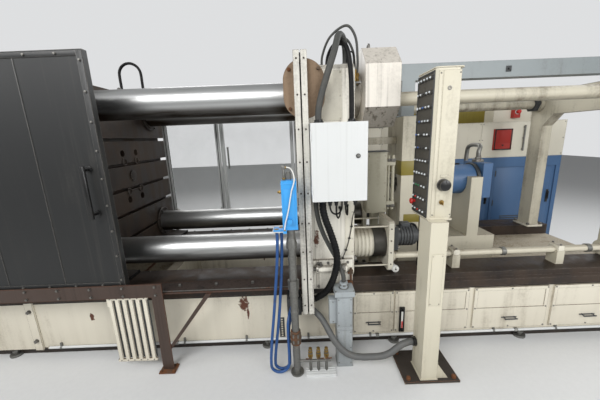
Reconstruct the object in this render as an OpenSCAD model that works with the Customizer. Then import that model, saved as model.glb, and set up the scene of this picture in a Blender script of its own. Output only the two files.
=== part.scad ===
// Horizontal cold chamber die casting machine, hydraulic clamp.
// X runs along the machine, with the die face of the fixed platen at 0 and the shot end at +X.
// Y runs across it, with the operator side at -Y. Z is up from the floor.

/* [Bed] */
// Clamp end of the bed, measured back from the die face
bed_back = 4500; // [4480:10:4900]
// Shot end of the bed, measured forward from the die face
bed_front = 2700; // [2500:10:3200]
// Half of the bed's width
bed_half = 625; // [600:5:650]
// Height of the bed plates under the ways
bed_h = 470; // [440:5:500]
// Width of each side girder
girder_w = 200; // [150:5:220]
// Thickness of the ways on top of the girders
way_t = 105; // [80:1:120]
// Width of each way
way_w = 240; // [200:5:260]
// Height of the recessed kick strip at the floor
kick_h = 65; // [30:1:80]
// Depth of the kick strip's recess
kick_in = 40; // [20:1:60]

/* [Platens] */
// Half of the platens' width
platen_half = 675; // [660:5:690]
// Top of the platens above the floor
platen_top = 2040; // [2020:5:2080]
// Thickness of the fixed platen
fixed_t = 370; // [300:5:380]
// Thickness of the moving platen
moving_t = 400; // [300:5:440]
// Thickness of the rear platen
rear_t = 400; // [300:5:440]
// Opening between the die faces at rest
die_open = 1500; // [1450:10:1520]
// Travel of the moving platen
platen_travel = 800; // [600:10:820]
// Die face to the front of the rear platen
rear_at = 2950; // [2900:10:3000]
// Corner chamfer of the platens
platen_chamfer = 30; // [10:5:60]
// Mouth width of a T-slot
slot_w = 30; // [22:1:36]
// Distance between T-slots
slot_pitch = 210; // [180:5:220]

/* [Tie bars] */
// Diameter of a tie bar
bar_d = 210; // [190:2:220]
// Half of the tie bars' spacing across the machine
bar_y = 425; // [410:5:435]
// Height of the lower tie bars
bar_low = 778; // [760:2:800]
// Height of the upper tie bars
bar_high = 1878; // [1860:2:1890]
// Running clearance between bars and the moving platen
bar_clear = 0.3; // [0.1:0.05:0.5]
// Width of an upper nut housing
nut_w = 540; // [500:5:560]
// Diameter of a lower nut
nut_d = 240; // [230:2:260]
// Diameter of a rear nut
rear_nut_d = 290; // [270:2:300]
// Length of a rear nut
rear_nut_t = 230; // [180:5:260]

/* [Clamp] */
// Outer diameter of the clamp cylinder
clamp_d = 620; // [580:5:660]
// Wall of the clamp cylinder
clamp_wall = 70; // [50:1:80]
// Diameter of the clamp ram
ram_d = 360; // [320:5:380]
// Length of the ram's piston
piston_t = 140; // [110:5:160]

/* [Shot end] */
// Height of the shot axis
shot_z = 1180; // [1160:5:1200]
// Outer diameter of the shot sleeve
sleeve_d = 170; // [160:2:180]
// Bore of the shot sleeve
sleeve_bore = 120; // [90:2:124]
// Length of the sleeve behind the platen
sleeve_out = 330; // [300:5:350]
// Outer diameter of the shot cylinder
shot_d = 260; // [220:5:280]
// Die face to the front of the shot cylinder
shot_at = 1060; // [1045:5:1100]
// Length of the shot cylinder
shot_l = 520; // [450:10:600]
// Diameter of the plunger rod
plunger_d = 80; // [60:2:90]
// Diameter of the upper strut rods
strut_d = 96; // [80:1:110]
// Height of the long beam over the shot end
beam_h = 130; // [120:2:170]

/* [Front guard] */
// Bottom of the sliding door
door_z = 660; // [650:1:680]
// Top of the sliding door
door_top = 2140; // [2100:5:2160]
// Length of the sliding door
door_l = 1550; // [1500:5:1580]
// Right edge of the open door, back from the die face
door_at = 1200; // [1180:5:1220]
// Travel of the front door
door_travel = 1100; // [900:10:1115]
// Middle of the door plate across the machine
door_y = 775; // [770:1:785]
// Height of a closing post
post_top = 2090; // [2000:5:2120]
// Top of the door rail
rail_top = 600; // [590:2:610]

/* [Enclosure] */
// Left side of the enclosure
enc_x = 75; // [70:1:90]
// Width of the enclosure
enc_w = 325; // [300:5:330]
// Underside of the enclosure
enc_z = 1223; // [1200:1:1240]
// Height of the enclosure
enc_h = 457; // [420:1:460]
// Depth of the enclosure with its door
enc_d = 200; // [180:1:205]
// Back of the enclosure from the machine's middle
enc_back = 705; // [700:1:710]
// Sheet thickness of the enclosure
sheet = 3; // [2:0.5:5]
// Thickness of the folded door
lid_t = 20; // [15:1:25]

/* [Control stand] */
// Middle of the stand along the machine
stand_x = 800; // [760:5:840]
// Middle of the stand's post across the machine
stand_y = 920; // [910:5:940]
// Width of the post
stand_w = 104; // [90:2:120]
// Depth of the post
stand_d = 150; // [120:1:160]
// Underside of the control head
head_z = 1095; // [1050:5:1150]
// Height of the control head
head_h = 842; // [780:2:880]
// Width of the control head's front
head_w = 126; // [110:1:150]
// Depth of the control head
head_d = 220; // [200:2:240]
// Rows of buttons
button_rows = 11; // [8:1:12]
// Columns of buttons
button_cols = 5; // [4:1:6]
// Diameter of a button
button_d = 20; // [14:1:22]

/* [Rear guard and power unit] */
// Section of the guard's extrusions
bar_sec = 40; // [30:1:45]
// Left end of the rear guard, back from the die face
guard_back = 1540; // [1500:10:1560]
// Inner face of the rear guard from the machine's middle
guard_y = 760; // [740:2:770]
// Travel of the rear door
rear_travel = 600; // [560:10:620]
// Thickness of a clear pane
pane_t = 6; // [4:1:10]
// Front face of the power unit from the machine's middle
unit_y = 875; // [870:5:900]
// Length of the power unit's cabinet
unit_l = 1600; // [1400:10:1700]
// Height of the power unit's cabinet
unit_h = 1280; // [1250:10:1300]

/* [Hidden] */
$fn = 48;

cream = "#d9d0b4";
dark_steel = "#3c3833";
greasy = "#4a3a2c";
chrome_grey = "#c4c6c8";
beam_blue = "#8d99a3";
pale = "#c9ccca";
cabinet_blue = "#3f6186";
rubber_black = "#222222";
hose_blue = "#2f62b4";

// Clearances between seated pieces and between moving ones
seat = 0.3;
run = 5;
// Overshoot of a cut past the face it goes through
over = 1;

way_top = bed_h + way_t;
moving_at = -die_open;
moving_back = moving_at - moving_t;
rear_back = -rear_at - rear_t;
mid_z = (bar_low + bar_high) / 2;

// Box between two corners
module block(low, high) {
    translate(low)
        cube(high - low);
}

// Outline drawn in Y and Z, extruded along X from x0 to x1
module along_x(x0, x1) {
    translate([x0, 0, 0])
        rotate([90, 0, 90])
            linear_extrude(x1 - x0)
                children();
}

// Outline drawn in X and Z, extruded along Y from y0 to y1
module along_y(y0, y1) {
    translate([0, y1, 0])
        rotate([90, 0, 0])
            linear_extrude(y1 - y0)
                children();
}

// Round bar along X
module bar_x(x0, x1, y, z, d) {
    translate([x0, y, z])
        rotate([0, 90, 0])
            cylinder(h = x1 - x0, d = d);
}

// Round bar along Y
module bar_y_axis(y0, y1, x, z, d) {
    translate([x, y0, z])
        rotate([-90, 0, 0])
            cylinder(h = y1 - y0, d = d);
}

// Upright round bar
module bar_z(x, y, z0, z1, d) {
    translate([x, y, z0])
        cylinder(h = z1 - z0, d = d);
}

// Rectangle with cut corners
module chamfered(low, high, c) {
    polygon([[low[0] + c, low[1]], [high[0] - c, low[1]], [high[0], low[1] + c],
        [high[0], high[1] - c], [high[0] - c, high[1]], [low[0] + c, high[1]],
        [low[0], high[1] - c], [low[0], low[1] + c]]);
}

// Both sides of the machine
module both_sides() {
    children();
    mirror([0, 1, 0])
        children();
}

// The four tie bar places
module at_bars() {
    for (y = [-bar_y, bar_y], z = [bar_low, bar_high])
        translate([0, y, z])
            children();
}

// Smooth curve through chosen points, with the ends repeated
function curve_point(a, b, c, d, t) =
    0.5 * (2 * b + (c - a) * t + (2 * a - 5 * b + 4 * c - d) * t * t
        + (3 * b - a - 3 * c + d) * t * t * t);
function curve(p, steps) = concat(
    [for (i = [0:len(p) - 2], k = [0:steps - 1])
        curve_point(p[max(i - 1, 0)], p[i], p[i + 1], p[min(i + 2, len(p) - 1)], k / steps)],
    [p[len(p) - 1]]);
function unit(v) = v / norm(v);
function headings(p) =
    [for (i = [0:len(p) - 1]) unit(p[min(i + 1, len(p) - 1)] - p[max(i - 1, 0)])];
function square_to(n, t) = unit(n - (n * t) * t);

// Tube swept along a route, its ends flat
module hose(route, d, steps = 4, sides = 10) {
    p = curve(route, steps);
    n = len(p);
    last = len(route) - 1;
    inner = headings(p);
    t = [for (i = [0:n - 1]) i == 0 ? unit(route[1] - route[0])
        : i == n - 1 ? unit(route[last] - route[last - 1]) : inner[i]];
    first = square_to(abs(t[0][1]) < 0.9 ? [0, 1, 0] : [1, 0, 0], t[0]);
    normals = [for (i = 0, v = first; i < n; i = i + 1, v = square_to(v, t[min(i, n - 1)])) v];
    rings = [for (i = [0:n - 1], k = [0:sides - 1])
        let (a = 360 * k / sides, u = square_to(normals[i], t[i]))
            p[i] + d / 2 * (cos(a) * u + sin(a) * cross(t[i], u))];
    walls = [for (i = [0:n - 2], k = [0:sides - 1])
        [i * sides + k, (i + 1) * sides + k, (i + 1) * sides + (k + 1) % sides,
            i * sides + (k + 1) % sides]];
    ends = [[for (k = [0:sides - 1]) k], [for (k = [sides - 1:-1:0]) (n - 1) * sides + k]];
    polyhedron(rings, concat(walls, ends));
}

// Bed
girder_in = bed_half - girder_w;
rib_w = 60;
rib_proud = 14;

rib_at = [-bed_back + rib_w, -3700, -2950, -2100, bed_front - 2 * rib_w];
module girder() {
    along_x(-bed_back, bed_front)
        polygon([[-bed_half + kick_in, 0], [-girder_in, 0], [-girder_in, bed_h],
            [-bed_half, bed_h], [-bed_half, kick_h], [-bed_half + kick_in, kick_h]]);
    for (x = rib_at)
        block([x, -bed_half - rib_proud, kick_h], [x + rib_w, -bed_half, bed_h]);
}

// Drain pipe clipped along the foot of the operator's side
drain_d = 18;
drain_z = kick_h + 15;
module bed_front_side() {
    color(cream) {
        girder();
        bar_x(-2000, bed_front - 3 * rib_w, -bed_half - drain_d / 2 + 2, drain_z, drain_d);
    }
}

module bed_rear_side() {
    color(cream)
        mirror([0, 1, 0])
            girder();
}

// Ends of the pit under the die
pit_back = -1150;
pit_front = -50;
well_h = 300;

// Cross members between the girders, with an open well over them
module bed_clamp_end() {
    color(cream)
        along_y(-girder_in, girder_in)
            polygon([[-bed_back, 0], [pit_back, 0], [pit_back, bed_h], [pit_back - 90, bed_h],
                [pit_back - 90 - well_h / 2, bed_h - well_h / 2],
                [rear_back + 120, bed_h - well_h / 2], [rear_back, bed_h], [-bed_back, bed_h]]);
}

module bed_shot_end() {
    color(cream)
        along_y(-girder_in, girder_in)
            polygon([[pit_front, 0], [bed_front, 0], [bed_front, bed_h], [pit_front, bed_h]]);
}

way_in = bed_half - way_w;
way_lip = 15;
module bed_ways() {
    color(greasy)
        both_sides()
            along_x(-bed_back, bed_front)
                polygon([[-bed_half - way_lip, bed_h], [-way_in, bed_h], [-way_in, way_top],
                    [-bed_half + 5, way_top], [-bed_half + 5, way_top - 40],
                    [-bed_half - way_lip, way_top - 55]]);
}

tray_t = 20;
tray_z = 60;
module drip_tray() {
    color(dark_steel)
        block([pit_back, -girder_in, tray_z], [pit_front, girder_in, tray_z + tray_t]);
}

cover_t = 12;
cover_low = 110;
cover_top = bed_h - 20;
cover_rim = 25;
cover_at = [[375, 305], [690, 560], [1290, 560], [1890, 560]];
module bed_covers() {
    color(cream)
        for (c = cover_at)
            difference() {
                block([c[0], -bed_half - cover_t, cover_low], [c[0] + c[1], -bed_half, cover_top]);
                block([c[0] + cover_rim, -bed_half - cover_t - over, (cover_low + cover_top) / 2],
                    [c[0] + c[1] - cover_rim, -bed_half - cover_t + 4, cover_top - cover_rim]);
            }
}

// Platens
module platen_outline(bottom) {
    chamfered([-platen_half, bottom], [platen_half, platen_top], platen_chamfer);
}

// T-slots across a die face that looks along +X at x
slot_deep = 60;
slot_head = 52;
slot_head_t = 24;
slot_count = 3;
module t_slots(x) {
    for (s = [-1, 1], k = [0.5:1:slot_count - 0.5])
        translate([x, 0, mid_z + s * k * slot_pitch])
            along_y(-platen_half - over, platen_half + over)
                polygon([[over, -slot_w / 2], [over, slot_w / 2],
                    [-slot_deep + slot_head_t, slot_w / 2],
                    [-slot_deep + slot_head_t, slot_head / 2], [-slot_deep, slot_head / 2],
                    [-slot_deep, -slot_head / 2], [-slot_deep + slot_head_t, -slot_head / 2],
                    [-slot_deep + slot_head_t, -slot_w / 2]]);
}

// Fixed platen, with feet on the ways and a bore for the shot sleeve
foot_w = way_w - 40;
platen_low = rail_top + 10;
module fixed_platen() {
    color(cream)
        difference() {
            union() {
                along_x(0, fixed_t)
                    platen_outline(platen_low);
                for (s = [-1, 1])
                    block([30, s * (way_in + way_w / 2) - foot_w / 2, way_top],
                        [fixed_t - 20, s * (way_in + way_w / 2) + foot_w / 2, platen_low + 40]);
            }
            at_bars()
                bar_x(-over, fixed_t + over, 0, 0, bar_d + 2 * seat);
            bar_x(-over, fixed_t + over, 0, shot_z, sleeve_d + 2 * seat);
            mirror([1, 0, 0])
                t_slots(0);
        }
}

// Moving platen, with T-slots in its die face, ejector holes and a stepped back
ejector_d = 60;
ejector_pitch = 200;
module moving_platen() {
    color(greasy)
        difference() {
            union() {
                along_x(moving_back + 120, moving_at)
                    platen_outline(platen_low);
                along_x(moving_back, moving_back + 120)
                    chamfered([-platen_half + 140, platen_low + 180],
                        [platen_half - 140, platen_top - 180], 150);
                at_bars()
                    bar_x(moving_back, moving_back + 121, 0, 0, bar_d + 110);
            }
            at_bars()
                bar_x(moving_back - over, moving_at + over, 0, 0, bar_d + 2 * bar_clear);
            for (y = [-1, 1], z = [-1, 1])
                bar_x(moving_at - 220, moving_at + over, y * ejector_pitch / 2,
                    mid_z + z * ejector_pitch, ejector_d);
            t_slots(moving_at);
        }
}

// Shoes that carry the moving platen on the ways
module platen_shoes() {
    color(dark_steel)
        both_sides()
            along_y(-way_in - way_w + 20, -way_in - 20)
                polygon([[moving_back + 20, way_top + seat], [moving_at + 160, way_top + seat],
                    [moving_at + 160, way_top + 22], [moving_at, platen_low - seat],
                    [moving_back + 20, platen_low - seat]]);
}

module rear_platen() {
    color(cream)
        difference() {
            union() {
                along_x(rear_back, -rear_at)
                    platen_outline(platen_low);
                for (s = [-1, 1])
                    block([rear_back + 20, s * (way_in + way_w / 2) - foot_w / 2, way_top],
                        [-rear_at - 20, s * (way_in + way_w / 2) + foot_w / 2,
                            platen_low + 40]);
            }
            at_bars()
                bar_x(rear_back - over, -rear_at + over, 0, 0, bar_d + 2 * seat);
            bar_x(rear_back - over, -rear_at + over, 0, mid_z, ram_d + 2 * seat);
        }
}

// Tie bars
upper_nut_at = fixed_t + 62;
upper_nut_t = 220;
ribbed_t = 175;
lower_nut_t = 105;
lower_plate_t = 40;
plate_at = fixed_t + ribbed_t + lower_nut_t;
bar_rear = rear_back - rear_nut_t - 60;

module tie_bars_upper() {
    color(chrome_grey)
        both_sides()
            bar_x(bar_rear, upper_nut_at + 60, -bar_y, bar_high, bar_d);
}

module tie_bars_lower() {
    color(chrome_grey)
        both_sides()
            bar_x(bar_rear, plate_at - 20, -bar_y, bar_low, bar_d);
}

nut_slots = 8;
slot_deep_r = 16;
collar_t = 40;
module rear_nuts() {
    color(dark_steel)
        at_bars()
            difference() {
                union() {
                    bar_x(rear_back - collar_t, rear_back, 0, 0, rear_nut_d + 60);
                    bar_x(rear_back - rear_nut_t, rear_back - collar_t + over, 0, 0, rear_nut_d);
                }
                bar_x(rear_back - rear_nut_t - over, rear_back + over, 0, 0,
                    bar_d + 2 * seat);
                for (a = [0:360 / nut_slots:359])
                    rotate([a, 0, 0])
                        block([rear_back - rear_nut_t - over, rear_nut_d / 2 - slot_deep_r, -18],
                            [rear_back - 100, rear_nut_d, 18]);
            }
}

// Cast nut housings behind the fixed platen, over the upper bars
nut_c = 120;
nut_low = 225;
nut_high = 269;
neck_d = 300;
module upper_nuts() {
    color(cream)
        for (y = [-bar_y, bar_y])
            translate([0, y, bar_high])
                difference() {
                    union() {
                        along_x(upper_nut_at, upper_nut_at + upper_nut_t)
                            chamfered([-nut_w / 2, -nut_low], [nut_w / 2, nut_high], nut_c);
                        bar_x(fixed_t, upper_nut_at + over, 0, 0, neck_d);
                    }
                    bar_x(fixed_t - over, upper_nut_at + 60 + seat, 0, 0, bar_d + 2 * seat);
                }
}

// Lower nuts: a ribbed sleeve, a steel band and a tall end plate
rib_count = 6;
rib_gap = 8;
rib_deep = 6;
plate_half_w = 140;
plate_half_h = 195;
guide_rod_d = 14;
rib_pitch = ribbed_t / rib_count;
rib_t = rib_pitch - rib_gap;
function ribbed_outline(r) = concat([[0, 0]],
    [for (k = [0:rib_count - 1], c = [[0, 0], [0, rib_t], [-rib_deep, rib_t], [-rib_deep, rib_pitch]])
        [r + c[0], k * rib_pitch + c[1]]],
    [[0, ribbed_t]]);
module lower_nuts() {
    color(cream)
        for (y = [-bar_y, bar_y])
            translate([0, y, bar_low])
                difference() {
                    union() {
                        translate([fixed_t, 0, 0])
                            rotate([0, 90, 0])
                                rotate_extrude()
                                    polygon(ribbed_outline(nut_d / 2));
                        bar_x(fixed_t + ribbed_t - over, plate_at + over, 0, 0, nut_d - 4);
                        along_x(plate_at, plate_at + lower_plate_t)
                            chamfered([-plate_half_w, -plate_half_h], [plate_half_w, plate_half_h], 12);
                        for (s = [-1, 1], t = [-1, 1])
                            bar_x(fixed_t, plate_at + over, s * (plate_half_w - 28), t * (plate_half_h - 40),
                                guide_rod_d);
                    }
                    bar_x(fixed_t - over, plate_at - 20 + seat, 0, 0, bar_d + 2 * seat);
                }
}

// Drives that turn the lower nuts, on the end plates
drive_w = 180;
drive_l = 200;
drive_d = 150;
module nut_drives() {
    color(dark_steel)
        both_sides()
            translate([plate_at + lower_plate_t + seat, -bar_y, bar_low + 40]) {
                block([0, -drive_w / 2, -drive_w / 2], [50, drive_w / 2, drive_w / 2]);
                bar_x(49, drive_l, 0, 0, drive_d);
                for (k = [0:4])
                    bar_x(80 + k * 22, 90 + k * 22, 0, 0, drive_d + 16);
                bar_x(drive_l - over, drive_l + 25, 0, 0, drive_d - 40);
            }
}

// Clamping cheeks beside the fixed platen's feet, with a small cylinder on each
cheek_from = 75;
cheek_low = 535;
cheek_top = 755;
cheek_out = platen_half + 25;
cheek_in = bed_half + way_lip + over;
jack_d = 46;
jack_z = 700;
module platen_cheeks() {
    color(cream)
        both_sides() {
            along_x(cheek_from, fixed_t - 15)
                polygon([[-cheek_out, cheek_low], [-cheek_in, cheek_low], [-cheek_in, platen_low - 4],
                    [-platen_half - seat, platen_low - 4], [-platen_half - seat, cheek_top],
                    [-cheek_out, cheek_top]]);
            bar_x(cheek_from + 20, fixed_t - 60, -cheek_out - jack_d / 2 + 3, jack_z, jack_d);
            for (x = [cheek_from + 20, cheek_from + 130, fixed_t - 74])
                bar_x(x, x + 14, -cheek_out - jack_d / 2 + 6, jack_z, jack_d + 14);
        }
}

// Clamp cylinder with a domed end, open at the rear platen
cyl_head = 120;
clamp_l = platen_travel + piston_t + cyl_head + 40;
cyl_back = rear_back - clamp_l;
clamp_in = clamp_d - 2 * clamp_wall;
module clamp_cylinder() {
    color(cream)
        difference() {
            union() {
                bar_x(cyl_back + 60, rear_back, 0, mid_z, clamp_d);
                bar_x(cyl_back, cyl_back + 61, 0, mid_z, clamp_d - 120);
                bar_x(rear_back - 60, rear_back, 0, mid_z, clamp_d + 80);
                bar_x(cyl_back + 60, cyl_back + 120, 0, mid_z, clamp_d + 40);
            }
            bar_x(cyl_back + cyl_head, rear_back + over, 0, mid_z, clamp_in);
        }
}

module clamp_ram() {
    color(chrome_grey) {
        bar_x(cyl_back + cyl_head + 20, moving_back - seat, 0, mid_z, ram_d);
        bar_x(cyl_back + cyl_head + 20, cyl_back + cyl_head + 20 + piston_t, 0, mid_z, clamp_in - 2 * bar_clear);
    }
}

// Shot end
pour_x = fixed_t + 110;
pour_l = 150;
module shot_sleeve() {
    color(dark_steel)
        difference() {
            bar_x(0, fixed_t + sleeve_out, 0, shot_z, sleeve_d);
            bar_x(-over, fixed_t + sleeve_out + over, 0, shot_z, sleeve_bore);
            block([pour_x, -sleeve_bore * 0.4, shot_z],
                [pour_x + pour_l, sleeve_bore * 0.4, shot_z + sleeve_d]);
        }
}

tip_at = fixed_t + sleeve_out - 80;
coupling_d = plunger_d + 60;
module shot_plunger() {
    color(chrome_grey) {
        bar_x(tip_at, tip_at + 70, 0, shot_z, sleeve_bore - 2 * bar_clear);
        bar_x(tip_at + 69, shot_at - seat, 0, shot_z, plunger_d);
        bar_x(shot_at - 170, shot_at - 110, 0, shot_z, coupling_d);
    }
}

// Shot frame: a C shaped casting that carries the shot cylinder on the bed
frame_x = 860;
frame_w = 170;
frame_half = 190;
frame_top = 1740;
module shot_frame() {
    color(cream) {
        difference() {
            along_y(-frame_half, frame_half)
                polygon([[frame_x, bed_h], [frame_x + frame_w, bed_h], [frame_x + frame_w, frame_top],
                    [frame_x, frame_top]]);
            bar_x(frame_x - over, frame_x + frame_w + over, 0, shot_z, coupling_d + 60);
            block([frame_x - over, -110, bed_h + 60], [frame_x + frame_w + over, 110, 1000]);
        }
        block([fixed_t, -45, 1520], [frame_x, 45, 1580]);
        block([frame_x + frame_w, -frame_half, bed_h], [shot_at + shot_l + 130, frame_half, 700]);
        for (x = [shot_at + 40, shot_at + shot_l - 120])
            difference() {
                block([x, -frame_half, 699], [x + 100, frame_half, shot_z + 40]);
                bar_x(x - over, x + 100 + over, 0, shot_z, shot_d + 2 * seat);
            }
    }
}

module shot_cylinder() {
    color(cabinet_blue) {
        bar_x(shot_at, shot_at + shot_l, 0, shot_z, shot_d);
        block([shot_at + shot_l, -shot_d / 2 - 20, shot_z - shot_d / 2 - 20],
            [shot_at + shot_l + 80, shot_d / 2 + 20, shot_z + shot_d / 2 + 20]);
    }
}

// Rods behind the upper nuts and the tail frame that they end in
strut_z = bar_high - 33;
tail_at = 2460;
tail_t = 100;
tail_leg = 150;
tail_top = strut_z + 110;
tail_beam = 220;
module strut_rods() {
    color(cream) {
        both_sides() {
            bar_x(upper_nut_at + upper_nut_t, tail_at + tail_t + 60, -bar_y, strut_z, strut_d);
            bar_x(tail_at - 40, tail_at + tail_t + 40, -bar_y, strut_z, strut_d + 60);
            block([tail_at, -bar_y - tail_leg / 2, way_top], [tail_at + tail_t, -bar_y + tail_leg / 2, tail_top]);
            along_x(tail_at, tail_at + tail_t)
                polygon([[-bar_y + tail_leg / 2 - over, tail_top - tail_beam + over],
                    [-bar_y + tail_leg / 2 + 110, tail_top - tail_beam + over],
                    [-bar_y + tail_leg / 2 - over, tail_top - tail_beam - 110]]);
        }
        block([tail_at, -bar_y, tail_top - tail_beam], [tail_at + tail_t, bar_y, tail_top]);
    }
}

// Return pipe beside the shot end, on two saddles
return_y = 500;
return_z = 682;
return_d = 52;
return_x = plate_at + lower_plate_t + seat;
saddles = [1150, 1950];
module return_pipe() {
    color(cream) {
        bar_x(return_x, tail_at - 120, -return_y, return_z, return_d);
        bar_x(tail_at - 140, tail_at - 115, -return_y, return_z, return_d + 60);
        bar_x(return_x, return_x + 22, -return_y, return_z, return_d + 34);
        for (x = saddles)
            block([x, -return_y - 45, way_top], [x + 60, -return_y + 45, return_z]);
    }
}

// Long beam over the shot end, a channel from the shot frame to an arm on the power unit
beam_end = 3100;
beam_z = 2032;
beam_half = 50;
beam_wall = 12;
arm_w = 80;
arm_h = 60;
module top_beam() {
    color(beam_blue) {
        along_x(upper_nut_at + upper_nut_t + run, beam_end)
            polygon([[-beam_half, beam_z], [beam_half, beam_z], [beam_half, beam_z + beam_wall],
                [-beam_half + beam_wall, beam_z + beam_wall],
                [-beam_half + beam_wall, beam_z + beam_h - beam_wall],
                [beam_half, beam_z + beam_h - beam_wall], [beam_half, beam_z + beam_h],
                [-beam_half, beam_z + beam_h]]);
        block([frame_x + 30, -beam_half, frame_top], [frame_x + frame_w - 30, beam_half, beam_z]);
        block([beam_end - arm_w - 40, -beam_half, beam_z - arm_h],
            [beam_end - 40, unit_y + panel_d - 20, beam_z]);
        block([beam_end - arm_w - 40, unit_y + 20, panel_top],
            [beam_end - 40, unit_y + panel_d - 20, beam_z - arm_h + over]);
    }
}

// Valve block before the shot frame, with two upright pipes beside it
block_x = 540;
block_l = 160;
block_z = 980;
block_top = 1470;
block_y = 320;
block_t = 120;
module valve_block() {
    color("#a8a392") {
        block([block_x, -block_y, block_z], [block_x + block_l, -block_y + block_t, block_top]);
        block([block_x + 50, -280, bed_h], [block_x + block_l - 50, -220, block_z]);
        for (k = [0, 1])
            bar_z(block_x + block_l + 22 + k * 34, -block_y + 30, block_z + 20, block_top - 30, 16 + 8 * k);
        for (z = [block_z + 60, block_top - 110])
            block([block_x + block_l - over, -block_y + 15, z], [block_x + block_l + 70, -block_y + 45, z + 30]);
    }
}

// Front guard: closing posts on the fixed platen
post_w = 36;
post_gap = 8;
post_x = -10;
post_z = 400;
post_y = door_y;
module closing_posts() {
    color("#e4e2da")
        for (k = [0, 1])
            translate([post_x + k * (post_w + post_gap), 0, 0]) {
                difference() {
                    block([0, -post_y - 25, post_z], [post_w, -post_y + 25, post_top]);
                    block([4, -post_y - 21, post_z - over], [post_w - 4, -post_y + 40, post_top + over]);
                }
                for (z = [700, 1150, 1600])
                    block([4, -post_y + 10, z], [post_w - 4, -platen_half, z + 60]);
            }
}

// Brown shield with round ends at the upper bar
shield_x = -75;
shield_w = 250;
shield_z = bar_high - 163;
shield_top = bar_high + 181;
shield_t = 12;
module tie_bar_shield() {
    color("#6b4a38") {
        along_y(-post_y + 30, -post_y + 30 + shield_t)
            hull()
                for (z = [shield_z + shield_w / 2, shield_top - shield_w / 2])
                    translate([shield_x + shield_w / 2, z])
                        circle(d = shield_w, $fn = 64);
        block([60, -post_y + 30 + shield_t, bar_high - 28], [120, -platen_half, bar_high + 32]);
    }
}

// Control enclosure, hollow, with cable glands and a folded door on the left hinges
gland_h = 23;
hinge_d = 9;
hinge_h = 26;
hinge_z = [enc_z + 70, enc_z + enc_h - 70];
module enclosure_box() {
    color("#e8e9e6") {
        for (z = hinge_z) {
            bar_z(enc_x, -enc_back - enc_d, z - hinge_h - 1, z - 1, hinge_d);
            block([enc_x - sheet, -enc_back - enc_d, z - hinge_h - 1], [enc_x - seat, -enc_back - enc_d + 45, z - 1]);
            block([enc_x - sheet, -enc_back - enc_d + lid_t + 4, z - hinge_h - 1],
                [enc_x + over, -enc_back - enc_d + 45, z - 1]);
        }
        difference() {
            block([enc_x, -enc_back - enc_d + lid_t + seat, enc_z],
                [enc_x + enc_w, -enc_back, enc_z + enc_h]);
            block([enc_x + sheet, -enc_back - enc_d, enc_z + sheet],
                [enc_x + enc_w - sheet, -enc_back - sheet, enc_z + enc_h - sheet]);
        }
        for (z = [enc_z + 40, enc_z + enc_h - 80])
            block([enc_x + 60, -enc_back, z], [enc_x + enc_w - 60, -platen_half, z + 40]);
        for (g = [[145, 790, 64], [105, 740, 44], [230, 800, 24], [290, 800, 24], [350, 800, 24]])
            translate([g[0], -g[1], enc_z - gland_h])
                cylinder(h = gland_h, d = g[2]);
        for (g = [[130, 780, 52], [330, 780, 42]])
            translate([g[0], -g[1], enc_z + enc_h])
                cylinder(h = 10, d = g[2]);
    }
}

lock_d = 26;
module enclosure_door() {
    color("#eceeec")
        difference() {
            union() {
                for (z = hinge_z)
                    bar_z(enc_x, -enc_back - enc_d, z, z + hinge_h, hinge_d);
                block([enc_x, -enc_back - enc_d, enc_z],
                    [enc_x + enc_w, -enc_back - enc_d + lid_t, enc_z + enc_h]);
                bar_y_axis(-enc_back - enc_d - 4, -enc_back - enc_d, enc_x + enc_w - 55,
                    enc_z + enc_h * 0.58, lock_d);
            }
            block([enc_x + 18, -enc_back - enc_d + 4, enc_z + 18],
                [enc_x + enc_w - 18, -enc_back - enc_d + lid_t + over, enc_z + enc_h - 18]);
            for (z = hinge_z)
                bar_z(enc_x, -enc_back - enc_d, z - hinge_h - 2, z, hinge_d + 2);
        }
}

// Control stand
stand_base_t = 15;
module control_post() {
    color(cream) {
        block([stand_x - stand_w / 2, -stand_y - stand_d / 2, stand_base_t],
            [stand_x + stand_w / 2, -stand_y + stand_d / 2, head_z]);
        difference() {
            block([stand_x - 160, -stand_y - 90, 0], [stand_x + 200, -stand_y + 190, stand_base_t]);
            for (x = [-130, 170], y = [-65, 165])
                translate([stand_x + x, -stand_y + y, -over])
                    cylinder(h = stand_base_t + 2 * over, d = 18);
        }
        for (s = [-1, 1])
            along_y(-stand_y + s * 60 - 5, -stand_y + s * 60 + 5)
                polygon([[stand_x + stand_w / 2, stand_base_t], [stand_x + stand_w / 2 + 80, stand_base_t],
                    [stand_x + stand_w / 2, stand_base_t + 120]]);
    }
}

// Control head: five sided housing, with the button panel turned to the machine
head_x = stand_x - 46;
head_front = stand_y + 15;
module control_head() {
    color(cream)
        translate([0, 0, head_z])
            linear_extrude(head_h)
                polygon([[head_x + 12, -head_front], [head_x + head_w, -head_front],
                    [head_x + head_w + 14, -head_front + 20],
                    [head_x + head_w + 14, -head_front + head_d],
                    [head_x, -head_front + head_d], [head_x, -head_front + 12]]);
}

// Button panel, its buttons, the big knob and the key switch
panel_t = 3;
knob_d = 64;
knob_up = 210;
key_d = 22;
key_up = 107;
module control_buttons() {
    row_pitch = (head_h - 80) / (button_rows - 1);
    col_pitch = (head_d - 70) / (button_cols - 1);
    color("#33312e") {
        block([head_x - panel_t, -head_front + 14, head_z + 12],
            [head_x, -head_front + head_d - 2, head_z + head_h - 12]);
        for (r = [0:button_rows - 1], c = [0:button_cols - 1])
            bar_x(head_x - panel_t - 12, head_x - panel_t + 1, -head_front + 38 + c * col_pitch,
                head_z + 40 + r * row_pitch, button_d);
        bar_y_axis(-head_front - 34, -head_front, head_x + 76, head_z + knob_up, knob_d);
        bar_y_axis(-head_front - 8, -head_front, head_x + 72, head_z + key_up, key_d);
    }
}

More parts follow.
